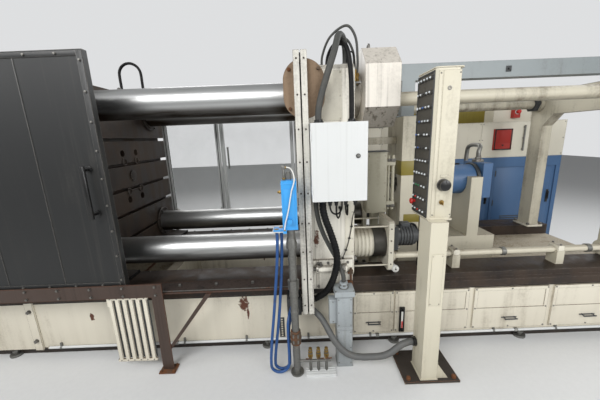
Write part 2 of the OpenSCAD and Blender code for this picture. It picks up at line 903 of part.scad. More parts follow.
// Floor standing cable duct and its hub
duct_x = 222;
duct_w = 106;
duct_y = 840;
duct_d = 100;
duct_h = 550;
module cable_duct() {
    color(beam_blue) {
        block([duct_x, -duct_y, 0], [duct_x + duct_w, -duct_y + duct_d, duct_h]);
        block([duct_x - 14, -duct_y - 10, duct_h], [duct_x + duct_w + 14, -duct_y + duct_d + 10, duct_h + 40]);
        translate([duct_x + duct_w / 2, -duct_y + duct_d / 2, duct_h + 40])
            cylinder(h = 45, d = 56);
        block([duct_x - 50, -duct_y + 20, 335], [duct_x, -duct_y + 75, 515]);
    }
}

// Pipe post with the regulator box on it
pipe_x = -64;
pipe_y = 875;
pipe_d = 50;
pipe_top = 1060;
tap_at = [30, 85, 140];
tap_top = 190;
rack_z = 90;
module pipe_post() {
    color("#8f8f8c") {
        bar_z(pipe_x, -pipe_y, 0, pipe_top, pipe_d);
        bar_z(pipe_x, -pipe_y, 0, 12, pipe_d + 40);
        for (z = [250, 640])
            translate([pipe_x, -pipe_y, z])
                cylinder(h = 70, d = pipe_d + 22, $fn = 6);
        block([pipe_x - pipe_d / 2 - 5, -pipe_y, rail_top - 15],
            [pipe_x + pipe_d / 2 + 5, -shelf_out - seat, rail_top - 1]);
        bar_x(pipe_x, tap_at[2] + 30, -pipe_y, rack_z, 18);
        block([tap_at[0] - 30, -pipe_y - 45, 0], [tap_at[2] + 60, -pipe_y + 25, 12]);
        for (x = tap_at) {
            bar_z(x, -pipe_y, 11, tap_top, 20);
            bar_z(x, -pipe_y, rack_z + 35, rack_z + 65, 32);
        }
    }
}

box_w = 90;
box_h = 300;
// Elbow that the white tube leaves
riser = [-92, -pipe_y - 3, 1434];
module regulator_box() {
    color(cabinet_blue) {
        block([pipe_x - box_w / 2, -pipe_y - 45, pipe_top],
            [pipe_x + box_w / 2, -pipe_y + 45, pipe_top + box_h]);
        translate([pipe_x, -pipe_y, pipe_top + box_h])
            cylinder(h = 40, d = 34);
        bar_y_axis(-pipe_y - 75, -pipe_y - 45, pipe_x, pipe_top + 60, 30);
        bar_z(riser[0], riser[1], pipe_top + box_h - over, riser[2] - 9, 12);
        block([riser[0] - 8, riser[1] - 8, riser[2] - 10], [riser[0] + 8 - seat, riser[1] + 8, riser[2] + 10]);
        block([riser[0] - 16, -pipe_y - 69, pipe_top - 14], [riser[0] + 6, -pipe_y - 34, pipe_top + 2]);
        block([pipe_x - box_w / 2 - 60, -pipe_y - 35, pipe_top - 10],
            [pipe_x - pipe_d / 2 - seat, -pipe_y + 35, pipe_top]);
    }
}

// Shelf that the front door rolls on, with a fascia and posts at its left stretch
track_back = -2800;
track_front = door_travel - door_at + 80;
shelf_t = 10;
shelf_out = 790;
fascia_out = 815;
fascia_top = 680;
fascia_low = 585;
rail_in = bed_half + way_lip;
leg_w = 75;
leg_x = [-2700, -1030];
bracket_x = [leg_x[0], leg_x[1], -420];
bracket_h = 60;
brace_from = [-665, rail_top - shelf_t];
brace_to = [leg_x[1] + leg_w - over, 200];
brace_w = 34;
module door_track() {
    color("#5a4032") {
        block([track_back, -shelf_out, rail_top - shelf_t], [track_front, -rail_in - seat, rail_top]);
        block([track_back, -fascia_out, rail_top - shelf_t], [leg_x[1] + leg_w, -shelf_out + over, rail_top]);
        block([track_back, -fascia_out, fascia_low], [leg_x[1] + leg_w, -fascia_out + shelf_t, fascia_top]);
        for (x = leg_x)
            along_x(x, x + leg_w)
                polygon([[-fascia_out, 0], [-fascia_out + 45, 0], [-fascia_out + 45, shelf_t],
                    [-fascia_out + shelf_t, shelf_t], [-fascia_out + shelf_t, rail_top - shelf_t],
                    [-fascia_out, rail_top - shelf_t]]);
        for (x = bracket_x)
            along_x(x, x + leg_w)
                polygon([[-rail_in - seat - shelf_t, rail_top - bracket_h],
                    [-rail_in - seat, rail_top - bracket_h], [-rail_in - seat, rail_top - shelf_t + over],
                    [-shelf_out + 40, rail_top - shelf_t + over],
                    [-rail_in - seat - shelf_t, rail_top - bracket_h / 2]]);
        along_y(-fascia_out + shelf_t - over, -fascia_out + shelf_t + 25)
            polygon([brace_from, brace_from + [brace_w, 0], brace_to + [0, -brace_w], brace_to]);
    }
}

// Upright slats that screen the hoses beside the bed
slat_pitch = 47;
slat_w = 26;
slat_n = 6;
slat_x = -1345;
slat_y = fascia_out - 20;
slat_t = 12;
slat_z = 70;
module track_slats() {
    right = slat_x + (slat_n - 1) * slat_pitch + slat_w;
    color(cream) {
        for (k = [0:slat_n - 1])
            block([slat_x + k * slat_pitch, -slat_y, slat_z + 19],
                [slat_x + k * slat_pitch + slat_w, -slat_y + slat_t, rail_top - 39]);
        for (z = [slat_z, rail_top - 40])
            block([slat_x - 10, -slat_y, z], [right + 10, -slat_y + slat_t, z + 20]);
        block([slat_x - 10, -slat_y + slat_t - over, rail_top - 90],
            [slat_x + 10, -rail_in - seat, rail_top - 60]);
        block([slat_x - 10, -slat_y, rail_top - 91], [slat_x + 10, -slat_y + slat_t, rail_top - 39]);
    }
}

// Middle and thickness of the guide behind the door's top
guide_y = 735;
guide_t = 24;

// Front door: a framed steel plate on two rollers, with shoes on the top guide
door_t = 40;
plate_t = 6;
wheel_d = door_z - rail_top - 2 * seat;
module front_door() {
    left = -door_at - door_l;
    color("#3b3d3f") {
        block([left, -door_y - door_t / 2, door_z], [-door_at, -door_y - door_t / 2 + plate_t, door_top]);
        difference() {
            block([left, -door_y - door_t / 2 + plate_t, door_z], [-door_at, -door_y + door_t / 2, door_top]);
            for (k = [0, 1])
                block([left + 60 + k * (door_l - 60) / 2, -door_y - door_t / 2, door_z + 60],
                    [left + (k + 1) * (door_l - 60) / 2, -door_y + door_t / 2 + over, door_top - 60]);
        }
        for (x = [left + 150, -door_at - 150]) {
            bar_y_axis(-door_y - 14, -door_y + 14, x, rail_top + seat + wheel_d / 2, wheel_d);
            block([x - 30, -door_y + 14, door_z - 20], [x + 30, -door_y + door_t / 2, door_z]);
            block([x - 40, -door_y + door_t / 2, door_top - 85],
                [x + 40, -guide_y - guide_t / 2 - seat, door_top - 55]);
        }
    }
}

// Guide for the top of the front door, held by the rear platen
module door_guide() {
    color(dark_steel) {
        block([-rear_at, -guide_y - guide_t / 2, door_top - 90], [-door_at - 60, -guide_y + guide_t / 2, door_top - 50]);
        block([-rear_at - 60, -guide_y - guide_t / 2, platen_top - 190], [-rear_at, -platen_half, door_top - 50]);
    }
}

// Rear guard: a fixed leaf and a sliding leaf of extrusions
guard_z = 750;
guard_top = 2050;
leaf_split = rear_travel + 33 - guard_back;
module frame_leaf(x0, x1, y, z0, z1) {
    difference() {
        block([x0, y, z0], [x1, y + bar_sec, z1]);
        block([x0 + bar_sec, y - over, z0 + bar_sec], [x1 - bar_sec, y + bar_sec + over, z1 - bar_sec]);
    }
}

slide_y = guard_y + bar_sec + run + 1;
module rear_guard() {
    color(pale) {
        frame_leaf(-guard_back, leaf_split, guard_y, guard_z, guard_top);
        block([-guard_back, guard_y, guard_z - bar_sec], [-2, guard_y + bar_sec, guard_z]);
        block([-guard_back, guard_y, guard_top], [-2, guard_y + bar_sec, guard_top + bar_sec]);
        for (x = [-guard_back, -2 - bar_sec])
            block([x, guard_y, 0], [x + bar_sec, guard_y + bar_sec, guard_z - bar_sec]);
        for (z = [guard_z - bar_sec, guard_top + 6])
            block([-guard_back, guard_y + bar_sec, z], [-2, slide_y + bar_sec, z + 12]);
        block([-2 - bar_sec, guard_y, guard_z], [-2, guard_y + bar_sec, guard_top]);
        for (z = [900, 1700]) {
            block([-2 - bar_sec, guard_y - 12, z], [100, guard_y, z + 60]);
            block([40, platen_half, z], [100, guard_y - 11, z + 60]);
        }
    }
}

module pane(x0, x1, y, z0, z1) {
    block([x0 + bar_sec, y + bar_sec / 2 - pane_t / 2, z0 + bar_sec],
        [x1 - bar_sec, y + bar_sec / 2 + pane_t / 2, z1 - bar_sec]);
}

module rear_guard_pane() {
    color("#b9cdd2", 0.5)
        pane(-guard_back, leaf_split, guard_y, guard_z, guard_top);
}

rear_door_z = guard_z - bar_sec + 12 + seat;
module rear_door() {
    color(pale)
        frame_leaf(leaf_split + 4, -50, slide_y, rear_door_z, guard_top);
}

module rear_door_pane() {
    color("#b9cdd2", 0.5)
        pane(leaf_split + 4, -50, slide_y, rear_door_z, guard_top);
}

// Power unit behind the shot end
unit_x = 1600;
unit_d = 620;
module power_cabinet() {
    color(cabinet_blue) {
        difference() {
            block([unit_x, unit_y, 0], [unit_x + unit_l, unit_y + unit_d, unit_h]);
            for (x = [unit_x + 40, unit_x + 40 + (unit_l - 60) / 2])
                block([x, unit_y - over, 260], [x + (unit_l - 120) / 2, unit_y + 12, unit_h - 120]);
            block([unit_x - over, unit_y - over, -over], [unit_x + unit_l + over, unit_y + 30, 60]);
        }
    }
}

// Low ties between the bed and the power unit
module unit_ties() {
    color(dark_steel)
        for (x = [unit_x + 100, bed_front - 260])
            block([x, bed_half + seat, 80], [x + 80, unit_y - seat, 140]);
}

// Panel over the power unit, with a cable channel and a box behind its top edge
panel_top = 1696;
panel_d = 120;
panel_from = 500;
channel_top = 1940;
channel_d = 320;
sub_box = [2410, 2870];
module guard_beam() {
    right = unit_x + unit_l;
    color(cream) {
        block([panel_from, unit_y, unit_h], [right, unit_y + panel_d, panel_top]);
        along_x(panel_from + 200, right)
            polygon([[unit_y + panel_d - over, panel_top - 16], [unit_y + channel_d, panel_top - 16],
                [unit_y + channel_d, channel_top], [unit_y + channel_d - 16, channel_top],
                [unit_y + channel_d - 16, panel_top], [unit_y + panel_d - over, panel_top]]);
        block([sub_box[0], unit_y + panel_d + 20, panel_top - over],
            [sub_box[1], unit_y + channel_d - 15, channel_top - 20]);
        block([panel_from + 20, unit_y + 20, 0], [panel_from + 120, unit_y + panel_d - 20, unit_h]);
    }
}

// Flat red cabinet on the panel, and a stop button on the box above it
trip_x = 2335;
trip_z = 1370;
stop_x = 2660;
stop_z = 1800;
module trip_box() {
    color("#9e2a20") {
        block([trip_x, unit_y - 25, trip_z], [trip_x + 215, unit_y - seat, trip_z + 245]);
        block([stop_x - 40, unit_y + panel_d - 30, stop_z - 60],
            [stop_x + 40, unit_y + panel_d + 20 - seat, stop_z + 60]);
        bar_y_axis(unit_y + panel_d - 60, unit_y + panel_d - 29, stop_x, stop_z + 10, 44);
    }
}

// Junction box behind the closing posts, where the hoses end
module junction_box() {
    color(dark_steel)
        block([-120, -760, 370], [-20, -bed_half - way_lip - seat, rail_top - 100 - seat]);
}

// Routes of hoses and conduits
route_black = [[145, -790, 1200], [145, -790, 1150], [165, -795, 1060], [200, -795, 980],
    [228, -795, 880], [238, -790, 780], [215, -780, 690], [170, -765, 600], [125, -745, 530],
    [80, -722, 480], [30, -711, 450], [5, -710, 446], [-20, -710, 446]];
route_grey = [[105, -740, 1200], [105, -740, 1150], [118, -738, 1060], [150, -735, 960],
    [190, -733, 870], [225, -735, 800], [255, -755, 730], [272, -783, 685], [275, -790, 660],
    [275, -790, 635]];
route_floor = [[-20, -710, 395], [10, -710, 395], [40, -712, 392], [75, -725, 382], [110, -755, 360],
    [140, -800, 325], [165, -845, 280], [205, -875, 225], [268, -888, 165], [340, -892, 130],
    [420, -895, 120], [520, -895, 130], [620, -890, 175], [700, -888, 220], [725, -888, 225], [748, -888, 225]];
route_blue_left = [[-150, -895, 1050], [-150, -895, 980], [-165, -895, 750], [-190, -895, 500],
    [-215, -895, 250], [-222, -893, 110], [-200, -888, 35], [-160, -882, 14], [-125, -876, 45],
    [-118, -868, 140], [-116, -866, 260], [-108, -850, 360], [-96, -812, 420], [-90, -785, 440],
    [-90, -760.3, 440]];
route_blue_right = [[-125, -855, 1050], [-125, -855, 980], [-135, -860, 750], [-155, -862, 500],
    [-178, -862, 250], [-184, -860, 120], [-176, -856, 45], [-158, -850, 16], [-140, -846, 45],
    [-134, -842, 130], [-128, -838, 240], [-105, -828, 345], [-70, -805, 415], [-50, -785, 440],
    [-50, -760.3, 440]];
route_top_grey = [[130, -780, 1690], [130, -780, 1740], [150, -780, 1840], [190, -775, 1930],
    [240, -765, 2020], [285, -745, 2110], [315, -710, 2180], [325, -660, 2205], [325, -615, 2180],
    [325, -595, 2110], [325, -595, 2040.3]];
route_top_black = [[330, -780, 1690], [330, -780, 1740], [326, -775, 1830], [315, -760, 1920],
    [295, -735, 2010], [265, -700, 2085], [235, -655, 2120], [215, -610, 2110], [210, -590, 2075],
    [210, -590, 2040.3]];
route_white = [[-84, -878, 1434], [-72, -878, 1435], [-56, -886, 1432], [-42, -900, 1420],
    [-33, -914, 1399], [-29, -926, 1373], [-33, -932, 1345], [-47, -934, 1304], [-57, -934, 1255],
    [-67, -934, 1202], [-78, -934, 1158], [-89, -934, 1118], [-95, -934, 1092], [-98, -934, 1076],
    [-98, -934, 1062.3]];
route_platen = [[-1750, 475, 2040.3], [-1750, 475, 2110], [-1756, 475, 2230], [-1735, 475, 2330],
    [-1650, 475, 2385], [-1565, 475, 2335], [-1540, 475, 2230], [-1536, 475, 2110],
    [-1536, 475, 2040.3]];

module hose_black() {
    color(rubber_black)
        hose(route_black, 48);
}

module hose_grey() {
    color("#5d5f60")
        hose(route_grey, 32);
}

module floor_conduit() {
    color("#7c7d7e")
        hose(route_floor, 44);
}

module hose_blue_left() {
    color(hose_blue)
        hose(route_blue_left, 20);
}

module hose_blue_right() {
    color(hose_blue)
        hose(route_blue_right, 20);
}

module hose_top_black() {
    color(rubber_black)
        hose(route_top_black, 30);
}

module hose_top_grey() {
    color("#5d5f60")
        hose(route_top_grey, 40);
}

module hose_white() {
    color("#dcdcd6")
        hose(route_white, 8, 4, 8);
}

module hose_platen() {
    color(rubber_black)
        hose(route_platen, 26);
}

bed_front_side();
bed_rear_side();
bed_clamp_end();
bed_shot_end();
bed_ways();
drip_tray();
bed_covers();
fixed_platen();
moving_platen();
platen_shoes();
rear_platen();
tie_bars_upper();
tie_bars_lower();
rear_nuts();
upper_nuts();
lower_nuts();
nut_drives();
platen_cheeks();
clamp_cylinder();
clamp_ram();
shot_sleeve();
shot_frame();
shot_cylinder();
shot_plunger();
strut_rods();
return_pipe();
top_beam();
valve_block();
closing_posts();
tie_bar_shield();
enclosure_box();
enclosure_door();
control_post();
control_head();
control_buttons();
cable_duct();
pipe_post();
regulator_box();
door_track();
track_slats();
front_door();
door_guide();
rear_guard();
rear_guard_pane();
rear_door();
rear_door_pane();
power_cabinet();
unit_ties();
guard_beam();
trip_box();
junction_box();
hose_black();
hose_grey();
floor_conduit();
hose_blue_left();
hose_blue_right();
hose_top_black();
hose_top_grey();
hose_platen();
hose_white();
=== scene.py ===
import itertools
import math

import bmesh
import bpy
from mathutils import Matrix, Vector


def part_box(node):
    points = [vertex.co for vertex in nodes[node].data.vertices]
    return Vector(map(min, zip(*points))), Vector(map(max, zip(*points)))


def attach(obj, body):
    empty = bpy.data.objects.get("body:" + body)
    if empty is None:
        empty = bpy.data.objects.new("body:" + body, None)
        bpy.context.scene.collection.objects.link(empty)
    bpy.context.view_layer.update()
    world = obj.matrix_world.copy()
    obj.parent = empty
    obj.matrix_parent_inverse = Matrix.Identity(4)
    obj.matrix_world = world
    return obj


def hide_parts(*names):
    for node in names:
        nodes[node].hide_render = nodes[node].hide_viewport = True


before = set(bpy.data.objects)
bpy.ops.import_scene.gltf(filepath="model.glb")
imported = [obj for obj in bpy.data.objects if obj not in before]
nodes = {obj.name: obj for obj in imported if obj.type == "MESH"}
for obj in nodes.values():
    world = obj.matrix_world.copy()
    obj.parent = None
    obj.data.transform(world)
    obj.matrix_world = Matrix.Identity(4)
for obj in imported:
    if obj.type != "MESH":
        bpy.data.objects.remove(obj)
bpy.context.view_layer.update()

TURN = 2 * math.pi
MM = 0.001


# Shader maths

def shade(code):
    """Linear colour of a hex code as it looks on a screen."""
    parts = [int(code[i:i + 2], 16) / 255 for i in (1, 3, 5)]
    return (*[p / 12.92 if p < 0.04045 else ((p + 0.055) / 1.055) ** 2.4 for p in parts], 1.0)


class Wire:
    """An output socket. An expression on wires adds its Math nodes."""

    def __init__(self, tree, socket=None):
        self.tree = tree
        self.socket = socket

    def add(self, kind, settings=None, inputs=None, output=0):
        """Adds a shader node: its settings first, then the values or links of its sockets."""
        made = self.tree.nodes.new("ShaderNode" + kind)
        for name, value in (settings or {}).items():
            setattr(made, name, value)
        for name, value in (inputs or {}).items():
            if isinstance(value, Wire):
                self.tree.links.new(value.socket, made.inputs[name])
            else:
                made.inputs[name].default_value = value
        return Wire(self.tree, made.outputs[output] if len(made.outputs) else None)

    def maths(self, operation, *values):
        return self.add("Math", {"operation": operation}, dict(enumerate(values)))

    def __add__(self, other):
        return self.maths("ADD", self, other)

    __radd__ = __add__

    def __sub__(self, other):
        return self.maths("SUBTRACT", self, other)

    def __rsub__(self, other):
        return self.maths("SUBTRACT", other, self)

    def __mul__(self, other):
        return self.maths("MULTIPLY", self, other)

    __rmul__ = __mul__

    def __truediv__(self, other):
        return self.maths("DIVIDE", self, other)

    def at_most(self, other):
        return self.maths("MINIMUM", self, other)

    def at_least(self, other):
        return self.maths("MAXIMUM", self, other)

    def step(self, low, high):
        """0 below low and 1 above high, smooth between them."""
        return self.add("MapRange", {"interpolation_type": "SMOOTHSTEP"},
                        {0: self, 1: low, 2: high, 3: 0.0, 4: 1.0})


class Finish:
    """A material in the making, with the patterns that the finishes share."""

    def __init__(self, name):
        self.material = bpy.data.materials.new(name)
        self.material.use_nodes = True
        self.tree = self.material.node_tree
        self.tree.nodes.clear()
        self.add = Wire(self.tree).add
        self.place = self.add("TexCoord", output="Object")

    def axis(self, letter):
        return self.split(self.place, letter)

    def noise(self, scale, detail, rough, stretch=(1, 1, 1), shift=(0, 0, 0)):
        moved = self.add("Mapping", None, {"Vector": self.place, "Scale": stretch, "Location": shift})
        return self.add("TexNoise", None, {
            "Vector": moved, "Scale": scale, "Detail": detail, "Roughness": rough})

    def edge(self, radius):
        """Near 1 along sharp edges within a radius, and 0 on flat faces."""
        rounded = self.add("Bevel", {"samples": 4}, {"Radius": radius})
        dot = self.add("VectorMath", {"operation": "DOT_PRODUCT"}, {0: rounded, 1: self.normal()}, "Value")
        return (1 - dot).step(0.01, 0.2)

    def normal(self):
        return self.add("NewGeometry", output="Normal")

    def split(self, vector, letter):
        return self.add("SeparateXYZ", None, {0: vector}, letter)

    def facing_up(self):
        return self.split(self.normal(), "Z").step(0.5, 0.9)

    def facing_down(self):
        return (self.split(self.normal(), "Z") * -1).step(0.3, 0.7)

    def stain(self, x, z, half_width, half_height):
        """Ragged mask round a place on an upright face, in metres."""
        across = (self.axis("X") - x) / half_width
        up = (self.axis("Z") - z) / half_height
        ragged = (self.noise(38.0, 6.0, 0.7) - 0.5) * 1.9
        return (1.35 - (across * across + up * up) + ragged).step(0.9, 1.15)

    def mix(self, factor, under, over):
        return self.add("Mix", {"data_type": "RGBA"}, {0: factor, 6: under, 7: over}, 2)

    def bump(self, height, depth):
        return self.add("Bump", None, {"Height": height, "Distance": depth})

    def done(self, **inputs):
        """Ends the material with its shader; names use _ for a space."""
        named = {name.replace("_", " "): value for name, value in inputs.items()}
        shader = self.add("BsdfPrincipled", None, named)
        self.add("OutputMaterial", None, {"Surface": shader})
        return self.material


# Finishes

def enamel(name, paint, grime="#5b4a35", bare="#4b3a30", soil=0.5, wear=0.5, rough=0.4,
           floor_soil=0.0, top_soil=0.0, painted_underside_shade=0.0, drips=0.0, stains=()):
    """Brushed or sprayed enamel with runs of grime, dusty tops, chipped edges and rust stains, and painted
    shade on faces that point down where asked.
    """
    f = Finish(name)
    broad = f.noise(1.7, 5.0, 0.6)
    runs = f.noise(14.0, 6.0, 0.6, (1.0, 1.0, 0.06))
    specks = f.noise(70.0, 6.0, 0.7)
    fine = f.noise(420.0, 2.0, 0.5)
    patch = (broad * 0.6 + runs * 0.5 + specks * 0.25).step(0.62 + 0.12 * (1 - soil), 0.95)
    low = (1 - f.axis("Z") / 0.55).at_least(0.0).at_most(1.0) * floor_soil
    dust = f.facing_up() * top_soil * (0.35 + specks * 0.7)
    grime_and_painted_shade = patch * soil + low * (0.3 + runs) + dust
    # Faces that point down take the grime colour here as painted shade, not dirt.
    if painted_underside_shade:
        grime_and_painted_shade = grime_and_painted_shade + f.facing_down() * painted_underside_shade * (0.55 + specks * 0.25)
    if drips:
        grime_and_painted_shade = grime_and_painted_shade + f.noise(46.0, 4.0, 0.6, (1.0, 1.0, 0.02)).step(0.52, 0.70) * drips
    grime_and_painted_shade = grime_and_painted_shade.at_most(1.0)
    chips = (f.edge(0.005) * (specks * 1.5 - 0.15)).step(0.30, 0.42)
    pits = f.noise(26.0, 8.0, 0.75, shift=(3.1, 1.7, 0.4)).step(0.80 - 0.09 * wear, 0.83 - 0.09 * wear)
    gone = (chips.at_least(pits) * wear * 1.6).at_most(1.0)
    tone = f.mix(broad, shade(paint), f.mix(0.10, shade(paint), shade("#3a3226")))
    coat = f.mix(grime_and_painted_shade, tone, shade(grime))
    for spot in stains:
        coat = f.mix(f.stain(*spot), coat, shade("#552c16"))
    return f.done(
        Base_Color=f.mix(gone, coat, shade(bare)),
        Roughness=(rough + grime_and_painted_shade * 0.35 + gone * 0.3 + fine * 0.06).at_most(0.95),
        Normal=f.bump(specks * 0.25 + fine * 0.12 - gone * 0.9, 0.0006))


def greasy(name, base="#3a2c22", sheen="#6b5a48"):
    """Steel under old die lubricant: dark, blotchy and partly wet."""
    f = Finish(name)
    broad = f.noise(2.6, 6.0, 0.62)
    runs = f.noise(11.0, 5.0, 0.6, (1.0, 1.0, 0.1))
    grit = f.noise(90.0, 6.0, 0.7)
    wet = (broad * 0.7 + runs * 0.5).step(0.50, 0.72)
    colour = f.mix(wet, f.mix(grit, shade(base), shade(sheen)), f.mix(grit, shade("#1d1713"), shade(base)))
    rubbed = f.edge(0.006) * grit.step(0.4, 0.6)
    return f.done(
        Base_Color=f.mix(rubbed, colour, shade("#7a7068")),
        Metallic=0.25,
        Roughness=0.62 - wet * 0.3 + grit * 0.12,
        Normal=f.bump(grit * 0.5 + broad * 0.8 - wet * 0.2, 0.0012))


def chrome(name, along="x"):
    """Hard chrome bar with a drawn, oily film, browned where lubricant bakes on near its ends, and darkened
    underneath as painted shade.
    """
    f = Finish(name)
    stretch = {"x": (0.12, 1, 1), "z": (1, 1, 0.12)}[along]
    film = f.noise(9.0, 6.0, 0.6, stretch)
    spots = f.noise(48.0, 6.0, 0.72).step(0.60, 0.74)
    hair = f.noise(240.0, 3.0, 0.6, stretch)
    oil = film.step(0.46, 0.68)
    # Brown where lubricant bakes on near the ends of the bar; faces that point down get the same dark brown
    # as painted shade.
    baked_oil_and_underside_shade = ((f.axis("X") * -1).step(1.15, 1.55) * 0.5 + f.axis("X").step(-0.22, -0.02) * 0.35
             + f.facing_down() * 0.75)
    return f.done(
        Base_Color=f.mix((oil * 0.35 + spots * 0.2 + baked_oil_and_underside_shade).at_most(1.0), shade("#bfc0bf"), shade("#3d342b")),
        Metallic=1.0,
        Roughness=0.34 + oil * 0.05 + spots * 0.06 + baked_oil_and_underside_shade * 0.25 + hair * 0.03)


def steel(name, base="#8b8a86", rust=0.25, rough=0.4):
    """Bare or galvanised steel with rust where water sits."""
    f = Finish(name)
    blot = f.noise(22.0, 7.0, 0.7)
    spangle = f.add("TexVoronoi", None, {"Vector": f.place, "Scale": 90.0})
    bloom = f.noise(7.0, 6.0, 0.7, shift=(2.0, 5.0, 1.0)).step(0.72 - 0.3 * rust, 0.80 - 0.25 * rust)
    colour = f.mix(blot * 0.5 + spangle * 0.3, shade(base), shade("#4f4d49"))
    return f.done(
        Base_Color=f.mix(bloom, colour, f.mix(blot, shade("#4f2f1c"), shade("#7c5030"))),
        Metallic=0.85 - bloom * 0.75,
        Roughness=rough + bloom * 0.35 + blot * 0.12,
        Normal=f.bump(blot * 0.5 + bloom * 0.5, 0.0006))


def rubber(name, base="#141414", dust=0.35, shine=0.2):
    f = Finish(name)
    film = f.noise(16.0, 6.0, 0.65)
    fine = f.noise(260.0, 3.0, 0.6)
    grey = film.step(0.42, 0.75) * dust
    return f.done(
        Base_Color=f.mix(grey, shade(base), shade("#6d675e")),
        Specular_IOR_Level=shine,
        Roughness=0.48 + grey * 0.3 + fine * 0.08,
        Normal=f.bump(fine * 0.4 + film * 0.4, 0.0004))


def plastic(name, base, rough=0.35, soil=0.2):
    f = Finish(name)
    film = f.noise(24.0, 6.0, 0.65)
    fine = f.noise(300.0, 2.0, 0.5)
    grime = film.step(0.5, 0.8) * soil
    return f.done(
        Base_Color=f.mix(grime, shade(base), shade("#3d362c")),
        Roughness=rough + grime * 0.4 + fine * 0.08,
        Normal=f.bump(fine, 0.0002))


def clear(name):
    """Clear guard sheet with a film of dust, thin enough to see through."""
    f = Finish(name)
    film = f.noise(3.5, 6.0, 0.65)
    drops = f.noise(120.0, 4.0, 0.7).step(0.62, 0.72)
    return f.done(
        Base_Color=shade("#cfd6d4"),
        Roughness=0.12 + film * 0.2,
        Alpha=(0.05 + film * 0.12 + drops * 0.15).at_most(1.0),
        Normal=f.bump(film, 0.0004))


cream = enamel("cream_enamel", "#ddd8c8", grime="#6a5a44", soil=0.45, wear=0.5, top_soil=0.8)
cream_platen = enamel("cream_platen_enamel", "#e8e4d8", grime="#4f4436", soil=0.5, wear=0.6, top_soil=0.9,
                      drips=0.5, stains=((0.105, 0.91, 0.032, 0.09), (0.33, 1.12, 0.02, 0.05)))
# Nut housings: faces that point down are darkened as painted shade.
cream_nut = enamel("cream_nut_enamel", "#ebe5da", grime="#5a5246", soil=0.3, wear=0.5, top_soil=0.9,
                   painted_underside_shade=1.0, drips=0.3)
cream_bed = enamel("cream_bed_enamel", "#e2dccb", grime="#6f6048", soil=0.45, wear=0.8,
                   floor_soil=0.35, top_soil=0.9,
                   stains=((-0.457, 0.39, 0.056, 0.105), (-0.43, 0.31, 0.016, 0.08),
                          (-1.62, 0.33, 0.03, 0.05)))
cream_stand = enamel("cream_stand_enamel", "#d3cdb9", grime="#6f6248", soil=0.45, wear=0.45, floor_soil=0.3)
# Shot frame, struts and return pipe: faces that point down are darkened as painted shade, besides their
# grime.
cream_dull = enamel("cream_dull_enamel", "#c9c3b0", grime="#5c4f3c", soil=0.75, wear=0.6, top_soil=0.6,
                    painted_underside_shade=0.5)
white = enamel("white_powder_coat", "#d8dad9", grime="#8f8b80", soil=0.3, wear=0.05, rough=0.33, drips=0.10)
post_white = enamel("closing_post_coat", "#d9d6cc", grime="#2f2a24", bare="#3a2c20", soil=0.95, wear=0.9,
                    drips=0.3)
beam_blue = enamel("beam_blue_enamel", "#8f9799", grime="#565148", soil=0.45, wear=0.3)
cabinet_blue = enamel("cabinet_blue_enamel", "#42648c", grime="#3a3a36", soil=0.4, wear=0.25, floor_soil=0.4)
box_blue = enamel("regulator_blue", "#3f9fe4", grime="#27547c", soil=0.15, wear=0.1, rough=0.3)
duct_grey = enamel("duct_grey_enamel", "#a1a8ab", grime="#57524a", soil=0.5, wear=0.35, floor_soil=0.4)
beige = enamel("valve_beige_enamel", "#b0ac99", grime="#5a5346", soil=0.5, wear=0.35)
tan = enamel("shield_tan", "#877058", grime="#4a392b", bare="#3c2f26", soil=0.95, wear=0.7, rough=0.6,
             drips=0.25)
brown = enamel("brown_primer", "#3f3028", grime="#1c1511", bare="#6a3d22", soil=0.8, wear=1.3, top_soil=0.7,
               drips=0.3)
# Olive that stands for the shaded parts of the cream shot frame and channel: painted shade.
olive = enamel("olive_shadow_enamel", "#84772b", grime="#4d4525", soil=0.4, wear=0.2)
dark = enamel("dark_steel_plate", "#35383a", grime="#57524b", bare="#6b6762", soil=0.5, wear=0.3, rough=0.5)
door_paint = enamel("door_paint", "#191b1c", grime="#4c4842", bare="#7b7771", soil=0.45, wear=0.6, rough=0.42,
                    drips=0.15)
foot_dark = enamel("stand_foot_coat", "#2e2822", grime="#2a221c", bare="#8c5a34", soil=0.7, wear=1.0,
                   rough=0.6, top_soil=0.5)
red = enamel("red_enamel", "#a8281e", grime="#4a1d17", soil=0.35, wear=0.35)
grease = greasy("greasy_steel", "#261c15", "#4b3d31")
grease_dark = greasy("greasy_dark", "#1f1915", "#40372f")
bar_chrome = chrome("tie_bar_chrome")
rod_steel = steel("turned_steel", "#a9a8a4", 0.1, 0.3)
zinc = steel("galvanised_pipe", "#8f8f8b", 0.35, 0.42)
rusty = steel("rusty_union", "#6f5a48", 0.95, 0.6)
bolt_steel = steel("bolt_steel", "#8d8b86", 0.35, 0.42)
brass = steel("brass_fittings", "#b08d3e", 0.1, 0.35)
band_steel = steel("band_steel", "#55534f", 0.05, 0.35)
profile = enamel("anodised_profile", "#cfd1d0", grime="#6d6a64", soil=0.3, wear=0.1, rough=0.3)
black_rubber = rubber("black_rubber", "#0a0a0b", 0.06)
grey_rubber = rubber("grey_jacket", "#484947", 0.25)
pale_rubber = rubber("pale_conduit", "#565756", 0.3, 0.5)
blue_tube = plastic("blue_air_hose", "#1f4a82", 0.36, 0.5)
white_tube = plastic("white_tube", "#dcdcd6", 0.35, 0.2)
black_plastic = plastic("black_plastic", "#131313", 0.25, 0.15)
panel_dark = plastic("button_panel_dark", "#4c4943", 0.5, 0.5)
red_plastic = plastic("red_plastic", "#c2201c", 0.28, 0.15)
green_plastic = plastic("green_plastic", "#1f7a4a", 0.28, 0.15)
blue_plastic = plastic("blue_plastic", "#3d5f9e", 0.28, 0.15)
lamp_clear = plastic("lamp_clear", "#cfd4d6", 0.16, 0.15)
pane = clear("clear_guard_sheet")

